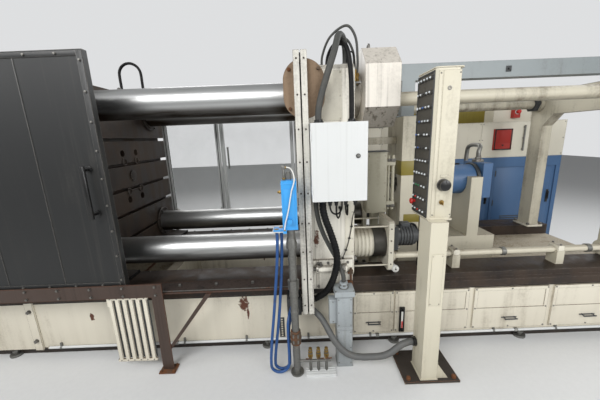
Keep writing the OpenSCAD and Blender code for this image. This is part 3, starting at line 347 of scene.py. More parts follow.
FINISH_OF = {
    cream_bed: "bed_front_side bed_rear_side bed_clamp_end bed_shot_end bed_covers track_slats",
    grease: "bed_ways moving_platen",
    grease_dark: "drip_tray platen_shoes rear_nuts shot_sleeve",
    cream_platen: "fixed_platen rear_platen platen_cheeks",
    bar_chrome: "tie_bars_upper tie_bars_lower clamp_ram",
    cream_nut: "upper_nuts",
    cream: "lower_nuts clamp_cylinder guard_beam",
    cream_dull: "shot_frame strut_rods return_pipe",
    cabinet_blue: "shot_cylinder power_cabinet",
    rod_steel: "shot_plunger",
    beam_blue: "top_beam",
    beige: "valve_block",
    post_white: "closing_posts",
    tan: "tie_bar_shield",
    white: "enclosure_box enclosure_door",
    cream_stand: "control_post control_head",
    panel_dark: "control_buttons",
    duct_grey: "cable_duct",
    zinc: "pipe_post",
    box_blue: "regulator_box",
    brown: "door_track",
    door_paint: "front_door",
    dark: "door_guide junction_box nut_drives unit_ties",
    profile: "rear_guard rear_door",
    pane: "rear_guard_pane rear_door_pane",
    red: "trip_box",
    black_rubber: "hose_black hose_top_black hose_platen",
    grey_rubber: "hose_grey hose_top_grey",
    pale_rubber: "floor_conduit",
    blue_tube: "hose_blue_left hose_blue_right",
}
for material, names in FINISH_OF.items():
    for name in names.split():
        slots = nodes[name].material_slots
        if len(slots) == 0:
            nodes[name].data.materials.append(material)
        for slot in slots:
            slot.material = material

# Slot named for the pieces of each finish, unless they name another
SLOT_OF = {coat.name: slot for slot, coats in {
    "galvanised": (zinc, rusty, bolt_steel, brass), "beige_grey": (beige,), "white_paint": (white,),
    "dark_steel": (grease_dark, dark, black_plastic, door_paint, band_steel), "profile": (profile,),
    "cream_paint": (cream, cream_bed, cream_dull, cream_stand, foot_dark, olive), "white_tube": (white_tube,),
    "beam_paint": (duct_grey, beam_blue), "red_paint": (red, red_plastic), "blue_hose": (blue_tube,),
    "cabinet_blue": (cabinet_blue, box_blue), "black_rubber": (black_rubber,),
    "grey_conduit": (grey_rubber, pale_rubber)}.items() for coat in coats}


# Camera, floor and light

PHOTO_WIDTH = 600
CAMERA_PLACE = (0.0, -2.525, 1.6)
CAMERA_DOWN = math.radians(12.5)
CAMERA_ROLL = math.radians(-2.24)
FOCAL_PIXELS = 279.0
SENSOR = 36.0
camera_data = bpy.data.cameras.new("camera")
camera_data.sensor_width = SENSOR
camera_data.lens = FOCAL_PIXELS / PHOTO_WIDTH * SENSOR
camera_data.clip_start = 0.05
camera = bpy.data.objects.new("camera", camera_data)
camera.matrix_world = (Matrix.Translation(CAMERA_PLACE)
                       @ Matrix.Rotation(math.pi / 2 - CAMERA_DOWN, 4, "X")
                       @ Matrix.Rotation(CAMERA_ROLL, 4, "Z"))
bpy.context.scene.collection.objects.link(camera)
bpy.context.scene.camera = camera
bpy.context.scene.view_settings.view_transform = "Standard"


def lamp(name, place, target, size, watts):
    data = bpy.data.lights.new(name, "AREA")
    data.shape = "RECTANGLE"
    data.size, data.size_y = size
    data.energy = watts
    lit = bpy.data.objects.new(name, data)
    aim = Vector(target) - Vector(place)
    lit.matrix_world = Matrix.Translation(place) @ aim.to_track_quat("-Z", "Y").to_matrix().to_4x4()
    bpy.context.scene.collection.objects.link(lit)


lamp("key_light", (-2.2, -5.0, 4.6), (0.0, 0.0, 1.1), (3.5, 2.5), 245)
lamp("fill_light", (3.2, -4.4, 2.4), (0.5, 0.0, 0.6), (3.0, 2.0), 120)
lamp("back_light", (-0.5, 4.6, 4.2), (0.0, 0.0, 1.2), (6.0, 2.0), 145)
lamp("clamp_light", (-6.5, -2.5, 4.2), (-3.0, 0.0, 1.0), (3.0, 2.5), 130)
lamp("shot_light", (5.5, 1.0, 4.2), (2.0, 0.0, 1.0), (3.0, 2.5), 120)

world = bpy.data.worlds.new("studio")
bpy.context.scene.world = world
world.use_nodes = True
world.node_tree.nodes.clear()
sky = Wire(world.node_tree)
ray = {name: sky.add("LightPath", None, None, name)
       for name in ("Is Camera Ray", "Is Glossy Ray", "Is Transmission Ray")}
seen = ray["Is Camera Ray"].at_least(ray["Is Glossy Ray"] * 0.55).at_least(ray["Is Transmission Ray"])
backdrop = sky.add("Background", None,
                   {"Color": (0.83, 0.84, 0.85, 1), "Strength": 0.22 + seen * 0.66})
sky.add("OutputWorld", None, {"Surface": backdrop})

FLOOR_HALF = 16.0
ground = bmesh.new()
bmesh.ops.create_grid(ground, x_segments=1, y_segments=1, size=FLOOR_HALF)
ground_mesh = bpy.data.meshes.new("studio_floor")
ground.to_mesh(ground_mesh)
studio_floor = bpy.data.objects.new("studio_floor", ground_mesh)
bpy.context.scene.collection.objects.link(studio_floor)
floor_finish = Finish("studio_floor")
speckle = floor_finish.noise(30.0, 4.0, 0.6)
floor_material = floor_finish.done(
    Base_Color=floor_finish.mix(speckle, shade("#cfd0d0"), shade("#d8d9d9")), Roughness=0.7)
ground_mesh.materials.append(floor_material)


# Hoses along the routes of the part's source, in millimetres

def curve_points(route, steps):
    """Smooth curve through the chosen points, as in the part's source."""
    points = [Vector(p) * MM for p in route]
    out = []
    for i in range(len(points) - 1):
        a = points[max(i - 1, 0)]
        b = points[i]
        c = points[i + 1]
        d = points[min(i + 2, len(points) - 1)]
        for k in range(steps):
            t = k / steps
            out.append(0.5 * (2 * b + (c - a) * t + (2 * a - 5 * b + 4 * c - d) * t ** 2
                              + (3 * b - a - 3 * c + d) * t ** 3))
    return out + [points[-1]]


def length_of(points):
    return sum((b - a).length for a, b in zip(points, points[1:]))


def evenly(points, gap):
    """The same curve with its points an even gap apart."""
    count = max(2, round(length_of(points) / gap))
    out = [points[0]]
    step = length_of(points) / count
    left = step
    for a, b in zip(points, points[1:]):
        run = (b - a).length
        done = 0.0
        while run - done >= left - 1e-9 and len(out) < count:
            done += left
            out.append(a.lerp(b, done / run))
            left = step
        left -= run - done
    return out + [points[-1]]


def tubes(name, lines, radius, material, sides=12, ridges=0.0):
    """Round tubes along lines of points; ridges is the depth of a corrugation as a share of the radius."""
    data = bpy.data.curves.new(name, "CURVE")
    data.dimensions = "3D"
    data.bevel_depth = radius * MM
    data.bevel_resolution = sides // 4
    data.use_fill_caps = True
    for points in lines:
        spline = data.splines.new("POLY")
        spline.points.add(len(points) - 1)
        for i, (target, place) in enumerate(zip(spline.points, points)):
            target.co = (*place, 1.0)
            target.radius = 1.0 - ridges * (i % 4 in (0, 3))
    data.materials.append(material)
    made = bpy.data.objects.new(name, data)
    bpy.context.scene.collection.objects.link(made)
    return made


HOSES = {
    "hose_black": (48, black_rubber, "stiff", 5.0, 0.10, [
        (145, -790, 1200), (145, -790, 1150), (160, -793, 1080), (187, -795, 1000), (212, -796, 920),
        (229, -795, 845), (231, -790, 770), (217, -782, 690), (194, -771, 615), (164, -757, 553),
        (129, -740, 510), (87, -724, 476), (42, -714, 455), (10, -711, 448.5), (-20, -710, 446)]),
    "hose_grey": (32, grey_rubber, "stiff", 4.0, 0.06, [
        (105, -740, 1200), (105, -740, 1150), (118, -738, 1060), (150, -735, 960), (190, -733, 870),
        (225, -735, 800), (255, -755, 730), (272, -783, 685), (275, -790, 660), (275, -790, 635)]),
    "floor_conduit": (44, pale_rubber, "stiff", 12.0, 0.0, [
        (-20, -710, 395), (20, -712, 394), (60, -726, 386), (95, -751, 367), (125, -781, 341),
        (151, -815, 308), (176, -845, 268), (203, -865, 226), (238, -879, 184), (280, -888, 150),
        (330, -893, 128), (385, -895, 120.5), (435, -895.5, 120), (490, -895, 120.5), (535.6, -893.5, 126),
        (578, -891.5, 143.6), (615, -890, 172), (652, -889, 201.4), (694.4, -888, 219), (725, -888, 224.5),
        (748, -888, 225)]),
    "hose_blue_left": (20, blue_tube, "medium", 12.0, 0.0, [
        (-150, -895, 1050), (-150, -895, 980), (-158, -895, 860), (-170, -895, 740), (-186, -895, 600),
        (-202, -895, 460), (-219, -895, 330), (-232, -894.5, 210), (-239, -893, 130), (-240, -891.5, 75),
        (-235.4, -889.1, 51.7), (-222.1, -886.6, 31.9), (-202.3, -884.2, 18.6), (-179, -881.8, 14),
        (-155.7, -879.3, 18.6), (-135.9, -876.9, 31.9), (-122.6, -874.4, 51.7), (-118, -872, 75),
        (-116, -870, 140), (-116, -868, 220), (-116, -867, 300), (-115, -866, 360), (-112, -860, 391),
        (-106, -843, 417), (-99, -817, 434), (-92, -786, 440), (-90, -760.3, 440)]),
    "hose_blue_right": (20, blue_tube, "medium", 12.0, 0.0, [
        (-125, -855, 1050), (-125, -855, 980), (-131, -857, 860), (-140, -859, 740), (-153, -861, 600),
        (-168, -862, 460), (-186, -862, 320), (-203, -862, 200), (-213, -861, 120), (-216, -860, 65),
        (-212.1, -858.1, 45.5), (-201.1, -856.2, 28.9), (-184.5, -854.4, 17.9), (-165, -852.5, 14),
        (-145.5, -850.6, 17.9), (-128.9, -848.8, 28.9), (-117.9, -846.9, 45.5), (-114, -845, 65),
        (-114, -844, 130), (-114, -843, 210), (-113, -842, 290), (-108, -842, 345), (-100, -837, 379),
        (-89, -825, 408), (-75, -808, 428), (-62, -786, 438.5), (-53, -770, 440), (-50, -760.3, 440)]),
    "hose_top_grey": (40, grey_rubber, "stiff", 12.0, 0.0, [
        (130, -780, 1690), (130, -780, 1740), (139, -781, 1800), (158, -783, 1870), (181, -784, 1940),
        (205, -782, 2010), (228, -772, 2075), (246.4, -750.9, 2135.8), (256.7, -730.5, 2170.5),
        (272.9, -698.5, 2191.2), (291.5, -661.4, 2193.6), (308.7, -627.3, 2177.2), (320.7, -603.6, 2145.4),
        (325, -595, 2105), (325, -595, 2040.3)]),
    "hose_top_black": (30, black_rubber, "stiff", 12.0, 0.0, [
        (330, -780, 1690), (330, -780, 1740), (330, -779, 1810), (329, -777, 1880), (327, -774, 1950),
        (322, -767, 2015), (313.3, -757.3, 2075.9), (299.7, -735.3, 2120.7), (280.5, -704.2, 2144),
        (258, -667.7, 2149.6), (236.3, -632.6, 2136.6), (219.5, -605.4, 2107.4), (211.8, -592.9, 2075.9),
        (210, -590, 2050), (210, -590, 2040.3)]),
    "hose_platen": (26, black_rubber, "stiff", 10.0, 0.0, [
        (-1750, 475, 2040.3), (-1750, 475, 2110), (-1750, 475, 2195), (-1750, 475, 2278),
        (-1741.9, 475, 2318.9), (-1718.7, 475, 2353.7), (-1683.9, 475, 2376.9), (-1643, 475, 2385),
        (-1602.1, 475, 2376.9), (-1567.3, 475, 2353.7), (-1544.1, 475, 2318.9), (-1536, 475, 2278),
        (-1536, 475, 2195), (-1536, 475, 2110), (-1536, 475, 2040.3)]),
    "hose_white": (8, white_tube, "medium", 6.0, 0.0, [
        (-84, -878, 1434), (-72, -878, 1435), (-56, -886, 1432), (-42, -900, 1420),
        (-33, -914, 1399), (-29, -926, 1373), (-33, -932, 1345), (-47, -934, 1304),
        (-57, -934, 1255), (-67, -934, 1202), (-78, -934, 1158), (-89, -934, 1118),
        (-95, -934, 1092), (-98, -934, 1076), (-98, -934, 1062.3)]),
}
for hose_name, (thick, coat, bend, gap, ridge, route) in HOSES.items():
    line = evenly(curve_points(route, 8), gap * MM)
    piece = tubes(hose_name + "_jacket", [line], thick / 2, coat, ridges=ridge)
    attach(piece, "clamping_platen" if hose_name == "hose_platen" else "machine")
    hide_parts(hose_name)
    length_of(line)
    thick * MM


# Mesh tools, in millimetres

TO_AXIS = {
    "x": Matrix.Rotation(math.pi / 2, 4, "Y"),
    "-x": Matrix.Rotation(-math.pi / 2, 4, "Y"),
    "y": Matrix.Rotation(-math.pi / 2, 4, "X"),
    "z": Matrix.Identity(4),
}
ALONG = {"x": Vector((1, 0, 0)), "y": Vector((0, 1, 0)), "z": Vector((0, 0, 1))}
ONTO = {
    "x": lambda a, b, h: (h, a, b),
    "y": lambda a, b, h: (a, h, b),
    "z": lambda a, b, h: (a, b, h),
}
SHARP = math.radians(35)
MERGE_GAP = 1e-3
WASHER_RADIUS = 0.62
WASHER_HEIGHT = 0.14
pieces = []


def ends(name):
    """Lowest and highest corner of a node, in millimetres."""
    low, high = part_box(name)
    return Vector(low) / MM, Vector(high) / MM


def spread(first, last, count):
    """Even places from the first to the last."""
    return [first + (last - first) * i / (count - 1) for i in range(count)]


def grid(*axes):
    """Every place made of one value along each axis; a bare number is the only value there."""
    return list(itertools.product(*[a if isinstance(a, (tuple, list)) else (a,) for a in axes]))


def around(centres, axis, radius, count, turn=0.0):
    """Even places on a circle across an axis, round each centre."""
    out = []
    for centre in centres:
        for k in range(count):
            angle = TURN * (k + turn) / count
            a, b = radius * math.cos(angle), radius * math.sin(angle)
            out.append(Vector(centre) + Vector(ONTO[axis](a, b, 0)))
    return out


class Piece:
    """A mesh in the making. It takes its finish from its material, keeps the name of a slot, and rides on a
    body.
    """

    def __init__(self, name, material, slot=None, body="machine"):
        self.name, self.material, self.body = name, material, body
        self.slot = slot or SLOT_OF[material.name]
        self.bm = bmesh.new()
        pieces.append(self)

    def each(self, kind, places, *rest):
        """The same shape at many places."""
        for place in places:
            getattr(self, kind)(place, *rest)
        return self

    def soften(self, bm, edges, width):
        bmesh.ops.bevel(bm, geom=list(edges), offset=width, offset_type="OFFSET", segments=2,
                        profile=0.5, affect="EDGES", material=-1, clamp_overlap=True)

    def block(self, low, high, edge=0.0):
        """Box between two corners, with its edges rounded."""
        low = Vector(low)
        high = Vector(high)
        size = Matrix.Diagonal((*(high - low), 1.0))
        made = bmesh.ops.create_cube(self.bm, size=1.0, matrix=Matrix.Translation((low + high) / 2) @ size)
        if edge:
            self.soften(self.bm, {e for v in made["verts"] for e in v.link_edges}, edge)
        return self

    def blocks(self, edge, *corners):
        """Boxes, each given by the six numbers of its two corners."""
        for box in corners:
            self.block(box[:3], box[3:], edge)
        return self

    def rod(self, centre, axis, radius, length, sides=24, edge=0.0):
        """Cylinder or prism about its centre, with its rims rounded."""
        made = bmesh.ops.create_cone(
            self.bm, cap_ends=True, segments=sides, radius1=radius, radius2=radius, depth=length,
            matrix=Matrix.Translation(centre) @ TO_AXIS[axis])
        if edge:
            caps = {f for v in made["verts"] for f in v.link_faces if len(f.verts) == sides}
            self.soften(self.bm, {e for f in caps for e in f.edges}, edge)
        return self

    def dome(self, centre, radius, height):
        """Half ball that stands on a face."""
        part = bmesh.new()
        bmesh.ops.create_uvsphere(part, u_segments=12, v_segments=8, radius=radius)
        bmesh.ops.delete(part, geom=[v for v in part.verts if v.co.z < -MERGE_GAP], context="VERTS")
        bmesh.ops.holes_fill(part, edges=[e for e in part.edges if e.is_boundary])
        bmesh.ops.recalc_face_normals(part, faces=part.faces)
        size = Matrix.Diagonal((1, 1, height / radius, 1))
        return self.join(part, Matrix.Translation(centre) @ size)

    def turned(self, profile, place, axis="z", steps=28, matrix=None):
        """Shape of (radius, height) points spun round an axis through a place."""
        part = bmesh.new()
        verts = [part.verts.new((r, 0.0, h)) for r, h in profile]
        edges = [part.edges.new(pair) for pair in zip(verts, verts[1:])]
        bmesh.ops.spin(part, geom=verts + edges, cent=(0, 0, 0), axis=(0, 0, 1), angle=TURN,
                       steps=steps, use_merge=True)
        bmesh.ops.remove_doubles(part, verts=part.verts, dist=MERGE_GAP)
        open_edges = [e for e in part.edges if e.is_boundary]
        if open_edges:
            bmesh.ops.holes_fill(part, edges=open_edges)
        bmesh.ops.recalc_face_normals(part, faces=part.faces)
        return self.join(part, matrix or Matrix.Translation(place) @ TO_AXIS[axis])

    def ring(self, centre, axis, outer, inner, length, edge=2.0, steps=36):
        """Round sleeve about its centre."""
        half = length / 2
        profile = [(inner, -half), (outer - edge, -half), (outer, edge - half), (outer, half - edge),
                   (outer - edge, half), (inner, half), (inner, -half)]
        return self.turned(profile, centre, axis, steps)

    def eye(self, place, foot=34, tall=16, sides=24, radius=30, thick=9, lift=46):
        """Lifting eye on a round foot that stands on a face."""
        up = ALONG["z"]
        section = [TURN * i / 10 for i in range(11)]
        self.rod(Vector(place) + up * tall / 2, "z", foot, tall, sides, 2)
        return self.turned([(radius + thick * math.cos(a), thick * math.sin(a)) for a in section],
                           Vector(place) + up * lift, "x")

    def plate(self, outline, axis, start, end, edge=0.0):
        """Outline drawn across an axis, from one place along it to another."""
        part = bmesh.new()
        face = part.faces.new([part.verts.new(ONTO[axis](a, b, start)) for a, b in outline])
        grown = bmesh.ops.extrude_face_region(part, geom=[face])
        top = [v for v in grown["geom"] if isinstance(v, bmesh.types.BMVert)]
        bmesh.ops.translate(part, vec=ALONG[axis] * (end - start), verts=top)
        bmesh.ops.recalc_face_normals(part, faces=part.faces)
        if edge:
            self.soften(part, part.edges, edge)
        return self.join(part)

    def bolt(self, place, axis, across, head, washer=True):
        """Hexagon head on a washer that sits at a place; head is signed along the axis."""
        way = ALONG[axis] * math.copysign(1.0, head)
        lift = across * WASHER_HEIGHT if washer else 0.0
        if washer:
            self.rod(Vector(place) + way * lift / 2, axis, across * WASHER_RADIUS, lift, 16)
        return self.rod(Vector(place) + way * (lift + abs(head) / 2), axis, across / math.sqrt(3),
                        abs(head), 6, across * 0.05)

    def screw(self, place, axis, size, head):
        """Round head with a socket; head is signed along the axis."""
        way = ALONG[axis] * math.copysign(1.0, head)
        height = abs(head)
        profile = [(0, 0), (size / 2, 0), (size / 2, height * 0.6), (size * 0.36, height),
                   (size * 0.2, height), (size * 0.17, height * 0.3), (0, height * 0.3)]
        turn = way.to_track_quat("Z", "Y").to_matrix().to_4x4()
        return self.turned(profile, place, steps=12, matrix=Matrix.Translation(place) @ turn)

    def join(self, part, matrix=None):
        """Adds a finished part to the mesh."""
        if matrix:
            bmesh.ops.transform(part, matrix=matrix, verts=part.verts)
        mesh = bpy.data.meshes.new("part")
        part.to_mesh(mesh)
        part.free()
        self.bm.from_mesh(mesh)
        bpy.data.meshes.remove(mesh)
        return self

    def finish(self):
        bmesh.ops.scale(self.bm, vec=(MM, MM, MM), verts=self.bm.verts)
        mesh = bpy.data.meshes.new(self.name)
        self.bm.to_mesh(mesh)
        self.bm.free()
        mesh.materials.append(self.material)
        mesh.shade_smooth()
        mesh.set_sharp_from_angle(angle=SHARP)
        made = bpy.data.objects.new(self.name, mesh)
        bpy.context.scene.collection.objects.link(made)
        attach(made, self.body)


def bolts(name, places, axis, across, head, material=bolt_steel, body="machine", washer=True):
    """One piece of hexagon heads at many places."""
    Piece(name, material, None, body).each("bolt", places, axis, across, head, washer)


def pipes(name, lines, radius, material, body="machine", steps=8, sides=8):
    """Pipes or short leads fixed at both ends, each a smooth line through chosen points."""
    made = tubes(name, [curve_points(line, steps) for line in lines], radius, material, sides)
    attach(made, body)


# Closing posts and shield

POST_WIDTH = 36
low, high = ends("closing_posts")
(Piece("post_screws", grease_dark)
 .each("screw", grid((low.x + POST_WIDTH / 2, high.x - POST_WIDTH / 2), low.y,
     spread(low.z + 70, high.z - 45, 9)), "y", 11, -4))
(Piece("post_seal", black_rubber)
 .block((low.x + POST_WIDTH + 1, low.y + 14, low.z + 10), (high.x - POST_WIDTH - 1, low.y + 30, high.z - 10),
     1))
(Piece("post_caps", black_plastic)
 .blocks(1, *[(x + 3, low.y + 3, high.z - 8, x + POST_WIDTH - 3, high.y - 3, high.z - 2)
     for x in (low.x, high.x - POST_WIDTH)]))
low, high = ends("tie_bar_shield")
bolts("shield_bolts", grid((low.x + 38, high.x - 38), low.y, (low.z + 60, high.z - 60)), "y", 17, -10, rusty)


# Fixed platen, seen between the posts and the nut housings

BAR_Y = (-425, 425)
BAR_Z = (778, 1878)
low, high = ends("fixed_platen")
(Piece("platen_covers", cream)
 .blocks(1.2, (high.x - 66, low.y - 3, 775, high.x - 6, low.y, 1215),
     (150, low.y - 3, 1700, 290, low.y, 2000))
 .each("screw", grid(high.x - 14, low.y - 3, spread(800, 1190, 5)) + grid((162, 278), low.y - 3,
     (1712, 1850, 1988)), "y", 9, -3))
eyes = Piece("platen_fittings", bolt_steel).each("eye", grid(high.x / 2, (-300, 300), high.z))
for x, y, size in ((325, -595, 34), (210, -590, 27), (120, 560, 30), (230, 560, 30)):
    eyes.rod((x, y, high.z + 5), "z", size, 10, 6, 1.2)
    if y > 0:
        eyes.dome((x, y, high.z + 10), size * 0.7, 10)
bolts("cheek_bolts", grid(spread(110, 320, 4), -700, (556, 734)), "y", 15, -9)
bolts("platen_corner_bolts", grid(high.x, (-610, 610), (720, 1240, 1420, 1940)), "x", 36, 23)

# Small clamping cylinder on the cheek, with its ports, and the threaded stud beside it
JACK_Y, JACK_Z = -720, 700
STUD_X, STUD_Y = 340, -712
jack = (Piece("cheek_jack_ends", bolt_steel)
        .each("rod", grid((104, 286), JACK_Y, JACK_Z), "x", 31, 12, 6, 1.5)
        .rod((86, JACK_Y, JACK_Z), "x", 12, 40, 20, 1))
for x in (128, 262):
    jack.turned([(0, 0), (13, 0), (13, 9), (8, 12), (8, 28), (6, 30), (0, 30)], (x, JACK_Y, JACK_Z + 21))
(Piece("cheek_stud", rusty).rod((STUD_X, STUD_Y, 610), "z", 8, 170, 16, 1)
 .each("rod", grid(STUD_X, STUD_Y, (556, 576, 672)), "z", 16, 13, 6, 1)
 .blocks(2, *[(316, -728, z, 352, -700, z + 10) for z in (588, 656)]))


# White enclosure

low, high = ends("enclosure_door")
box_low, box_high = ends("enclosure_box")
lock = Vector((high.x - 55, low.y, low.z + 0.58 * (high.z - low.z)))
LID = "enclosure_lid"
(Piece("lock_ring", black_plastic, body=LID)
 .turned([(9.4, 0), (13.2, 0), (13.2, 1.6), (12, 3), (10, 3), (9.4, 1.4), (9.4, 0)], lock, "y", 32))
(Piece("lock_insert", zinc, body=LID).rod(lock - Vector((0, 1.4, 0)), "y", 9.2, 3.4, 24, 0.6)
 .block(lock + Vector((-1.6, -4.4, -6)), lock + Vector((1.6, -3, 6)), 0.5))
(Piece("enclosure_drip_edge", white)
 .block((box_low.x + 1, low.y + 22, box_high.z - 12), (box_high.x + 5, box_high.y, box_high.z - 9.6), 0.8))
(Piece("enclosure_screws", bolt_steel)
 .each("screw", grid(box_high.x, (box_high.y - 30, low.y + 45), spread(low.z + 60, high.z - 60, 3)), "x", 9,
     3))
glands = Piece("enclosure_glands", black_plastic, "black_rubber")
for x, y, size in ((145, -790, 64), (105, -740, 44), (230, -800, 24), (290, -800, 24), (350, -800, 24)):
    glands.rod((x, y, low.z - 15), "z", size * 0.62, 15, 6, size * 0.04)
    glands.rod((x, y, low.z - 4), "z", size * 0.66, 7, 6, size * 0.03)
for x, size in ((130, 52), (330, 42)):
    glands.rod((x, -780, high.z + 6), "z", size * 0.66, 12, 6, size * 0.04)
    glands.ring((x, -780, high.z + 17), "z", size * 0.52, size * 0.36, 12, 1.5)
glands.each("rod", grid((190, 230, 290, 350), -800, 1186), "z", 11, 26, 20, 3)
glands.each("rod", grid((190, 230, 290, 350), -800, 1196), "z", 15, 12, 6, 1)
pipes("enclosure_leads", [
    [(230, -800, 1180), (229, -802, 1150), (232, -800, 1108), (246, -775, 1082), (264, -720, 1092),
     (270, -694, 1120), (270, -676, 1128)],
    [(290, -800, 1180), (290, -802, 1154), (294, -796, 1120), (306, -765, 1100), (316, -720, 1112),
     (320, -694, 1136), (320, -676, 1142)],
    [(190, -800, 1180), (191, -803, 1156), (200, -806, 1132), (220, -806, 1118), (244, -804, 1122),
     (262, -802, 1146), (266, -800, 1176), (266, -800, 1215)]], 5.5, black_rubber)
pipes("platen_lead", [[(350, -800, 1202), (350, -800, 1172), (352, -782, 1142), (356, -730, 1106),
    (354, -690, 1052), (346, -683, 970), (326, -683, 870), (302, -686, 800), (290, -688, 772),
    (288, -688, 754)]], 3, black_rubber)
sockets = Piece("lead_sockets", black_plastic, "black_rubber")
sockets.each("rod", [(270, -680, 1128), (320, -680, 1142)], "y", 11, 9, 6, 1)
sockets.rod((288, -688, 760), "z", 7, 12, 6, 0.8)
sockets.blocks(1.5, *[(x - 9, -689, z - 4, x + 9, -675, z + 4) for x,
    z in ((349, 990), (334, 905), (310, 818))])


# Inside of the enclosure, seen when its door is open

back = box_high.y - 12
(Piece("mounting_plate", zinc).block((95, back - 6, 1243), (380, back - 3, 1660), 1)
 .each("screw", grid((108, 367), back - 6, (1256, 1647)), "y", 9, -4))
(Piece("wiring_ducts", duct_grey)
 .blocks(1.5, *[(100, back - 46, z, 375, back - 6, z + 24) for z in (1330, 1450, 1570)],
     (100, back - 46, 1250, 122, back - 6, 1650)))
(Piece("device_rails", bolt_steel)
 .blocks(1, *[(130, back - 13, z - 17, 370, back - 6, z + 17) for z in (1290, 1400, 1520, 1620)]))
terminals = Piece("terminal_blocks", beige)
terminals.blocks(1, *[(134 + k * 8.6, back - 52, 1264, 141.6 + k * 8.6, back - 13, 1316) for k in range(26)])
for x in range(134, 350, 45):
    terminals.block((x, back - 78, 1486), (x + 40, back - 13, 1552), 3)
    terminals.block((x + 6, back - 84, 1500), (x + 34, back - 76, 1538), 2)
relays = Piece("relays", black_plastic)
for x in range(134, 340, 30):
    relays.block((x, back - 72, 1366), (x + 26, back - 13, 1434), 2)
    relays.block((x + 4, back - 76, 1380), (x + 22, back - 70, 1400), 1)
relays.block((134, back - 86, 1600), (214, back - 13, 1646), 3)
pipes("inside_wires", [
    [(x, back - 30, z), (x + 2, back - 60, z + way * 8), (x + 3, back - 62, z + way * 20),
     (x + 2, back - 40, z + way * 30)]
    for z, way, count, gap in ((1312, 1, 12, 18.0), (1366, -1, 12, 17.5), (1434, 1, 12, 17.5),
                               (1486, -1, 10, 22.0), (1552, 1, 10, 22.0))
    for x in spread(138, 138 + gap * (count - 1), count)], 1.6, black_rubber, steps=4, sides=4)
pipes("inside_cores", [[(x, y, 1226), (x, y, 1240), (x + (112 - x) * 0.4, y + (back - 30 - y) * 0.5, 1262),
    (112, back - 34, 1290)] for x, y in ((145, -790), (105, -750), (230, -800), (290, -800))], 6, grey_rubber,
    steps=6)
y0, y1 = high.y - 0.5, high.y + 3
(Piece("enclosure_seal", black_rubber, body=LID)
 .blocks(1, *[(94, y0, z, 392, y1, z + 8) for z in (1240, 1655)],
     *[(x, y0, 1240, x + 8, y1, 1663) for x in (94, 384)]))
(Piece("enclosure_latch", zinc, body=LID).rod((345, high.y + 6, 1488), "y", 9, 14, 20, 1)
 .block((338, high.y + 8, 1478), (372, high.y + 12, 1498), 1))


# Nut housings and lower nuts

low, high = ends("upper_nuts")
middle = (low.x + high.x) / 2
bolts("nut_housing_bolts", around(grid(high.x, BAR_Y, BAR_Z[1]), "x", 165, 8, 0.5), "x", 36, 23)
bolts("nut_flange_bolts", around(grid(low.x, BAR_Y, BAR_Z[1] + 10), "x", 195, 8, 0.5), "x", 30, -19)
(Piece("nut_collars", dark).each("ring", grid(low.x - 12, BAR_Y, BAR_Z[1]), "x", 168, 140, 24, 3)
 .each("ring", grid(high.x + 10, BAR_Y, BAR_Z[1]), "x", 120, 20, 20, 3))
Piece("nut_lifting_eyes", bolt_steel).each("eye", grid(middle, BAR_Y, high.z), 26, 12, 20, 24, 7, 38)
pipes("sensor_leads", [
    [(180, -530, 2038), (183, -532, 2120), (232, -562, 2222), (328, -600, 2272), (380, -628, 2200),
     (392, -642, 2080), (390, -642, 1972)],
    [(215, -520, 2038), (218, -525, 2105), (262, -562, 2178), (325, -598, 2196), (366, -612, 2130),
     (378, -612, 2050), (378, -612, 1976)]], 8, grey_rubber)
pipes("thin_sensor_lead", [
    [(330, -615, 2040), (331, -617, 2080), (345, -632, 2112), (366, -652, 2096), (372, -662, 2050),
     (373, -664, 1990)]], 4.5, black_rubber)
plugs = Piece("sensor_plugs", brass)
for x, y, z, r in ((390, -642, 1966, 12), (378, -612, 1970, 12), (373, -664, 1984, 8)):
    for dz, share, length, sides in ((8, 1, 22, 6), (-10, 0.75, 16, 16), (-24, 1.05, 16, 6),
            (-40, 0.6, 18, 12)):
        plugs.rod((x, y, z + dz), "z", r * share, length, sides, 1)
plugs.each("rod", [(180, -530, 2046), (215, -520, 2046)], "z", 14, 14, 6, 1.5)
(Piece("sensor_bracket", zinc)
 .blocks(1.5, (368, -672, 1921, 412, -566, 1931), (370, -672, 1880, 376, -566, 1925)))

BAND_FROM, BAND_TO = 545, 650
low, high = ends("lower_nuts")
(Piece("nut_bands", band_steel)
 .each("ring", grid((BAND_FROM + BAND_TO) / 2, BAR_Y, BAR_Z[0]), "x", 121, 110, BAND_TO - BAND_FROM - 4, 3,
     48)
 .each("ring", grid((BAND_FROM + 12, BAND_TO - 14), BAR_Y, BAR_Z[0]), "x", 124, 112, 10, 2, 48))
bolts("end_plate_nuts", grid(high.x, [y + dy for y in BAR_Y for dy in (-112, 112)], (623, 933)), "x", 22, 13)
(Piece("end_plate_screws", grease_dark)
 .each("screw", grid(high.x - 20, low.y, spread(low.z + 55, high.z - 55, 4)), "y", 11, -4))
GAUGE_X, GAUGE_Z = 706, 600
(Piece("gauge_case", profile).rod((GAUGE_X, -560, GAUGE_Z), "y", 27, 26, 32, 2)
 .rod((GAUGE_X, -560, 578), "z", 7, 22, 12, 1))
Piece("gauge_dial", white_tube).rod((GAUGE_X, -575, GAUGE_Z), "y", 24, 4, 32, 0.6)
(Piece("gauge_hand", black_plastic).rod((GAUGE_X, -578, GAUGE_Z), "y", 6, 3, 16, 0.6)
 .block((704.6, -579, 600), (707.4, -577.6, 618), 0.4))

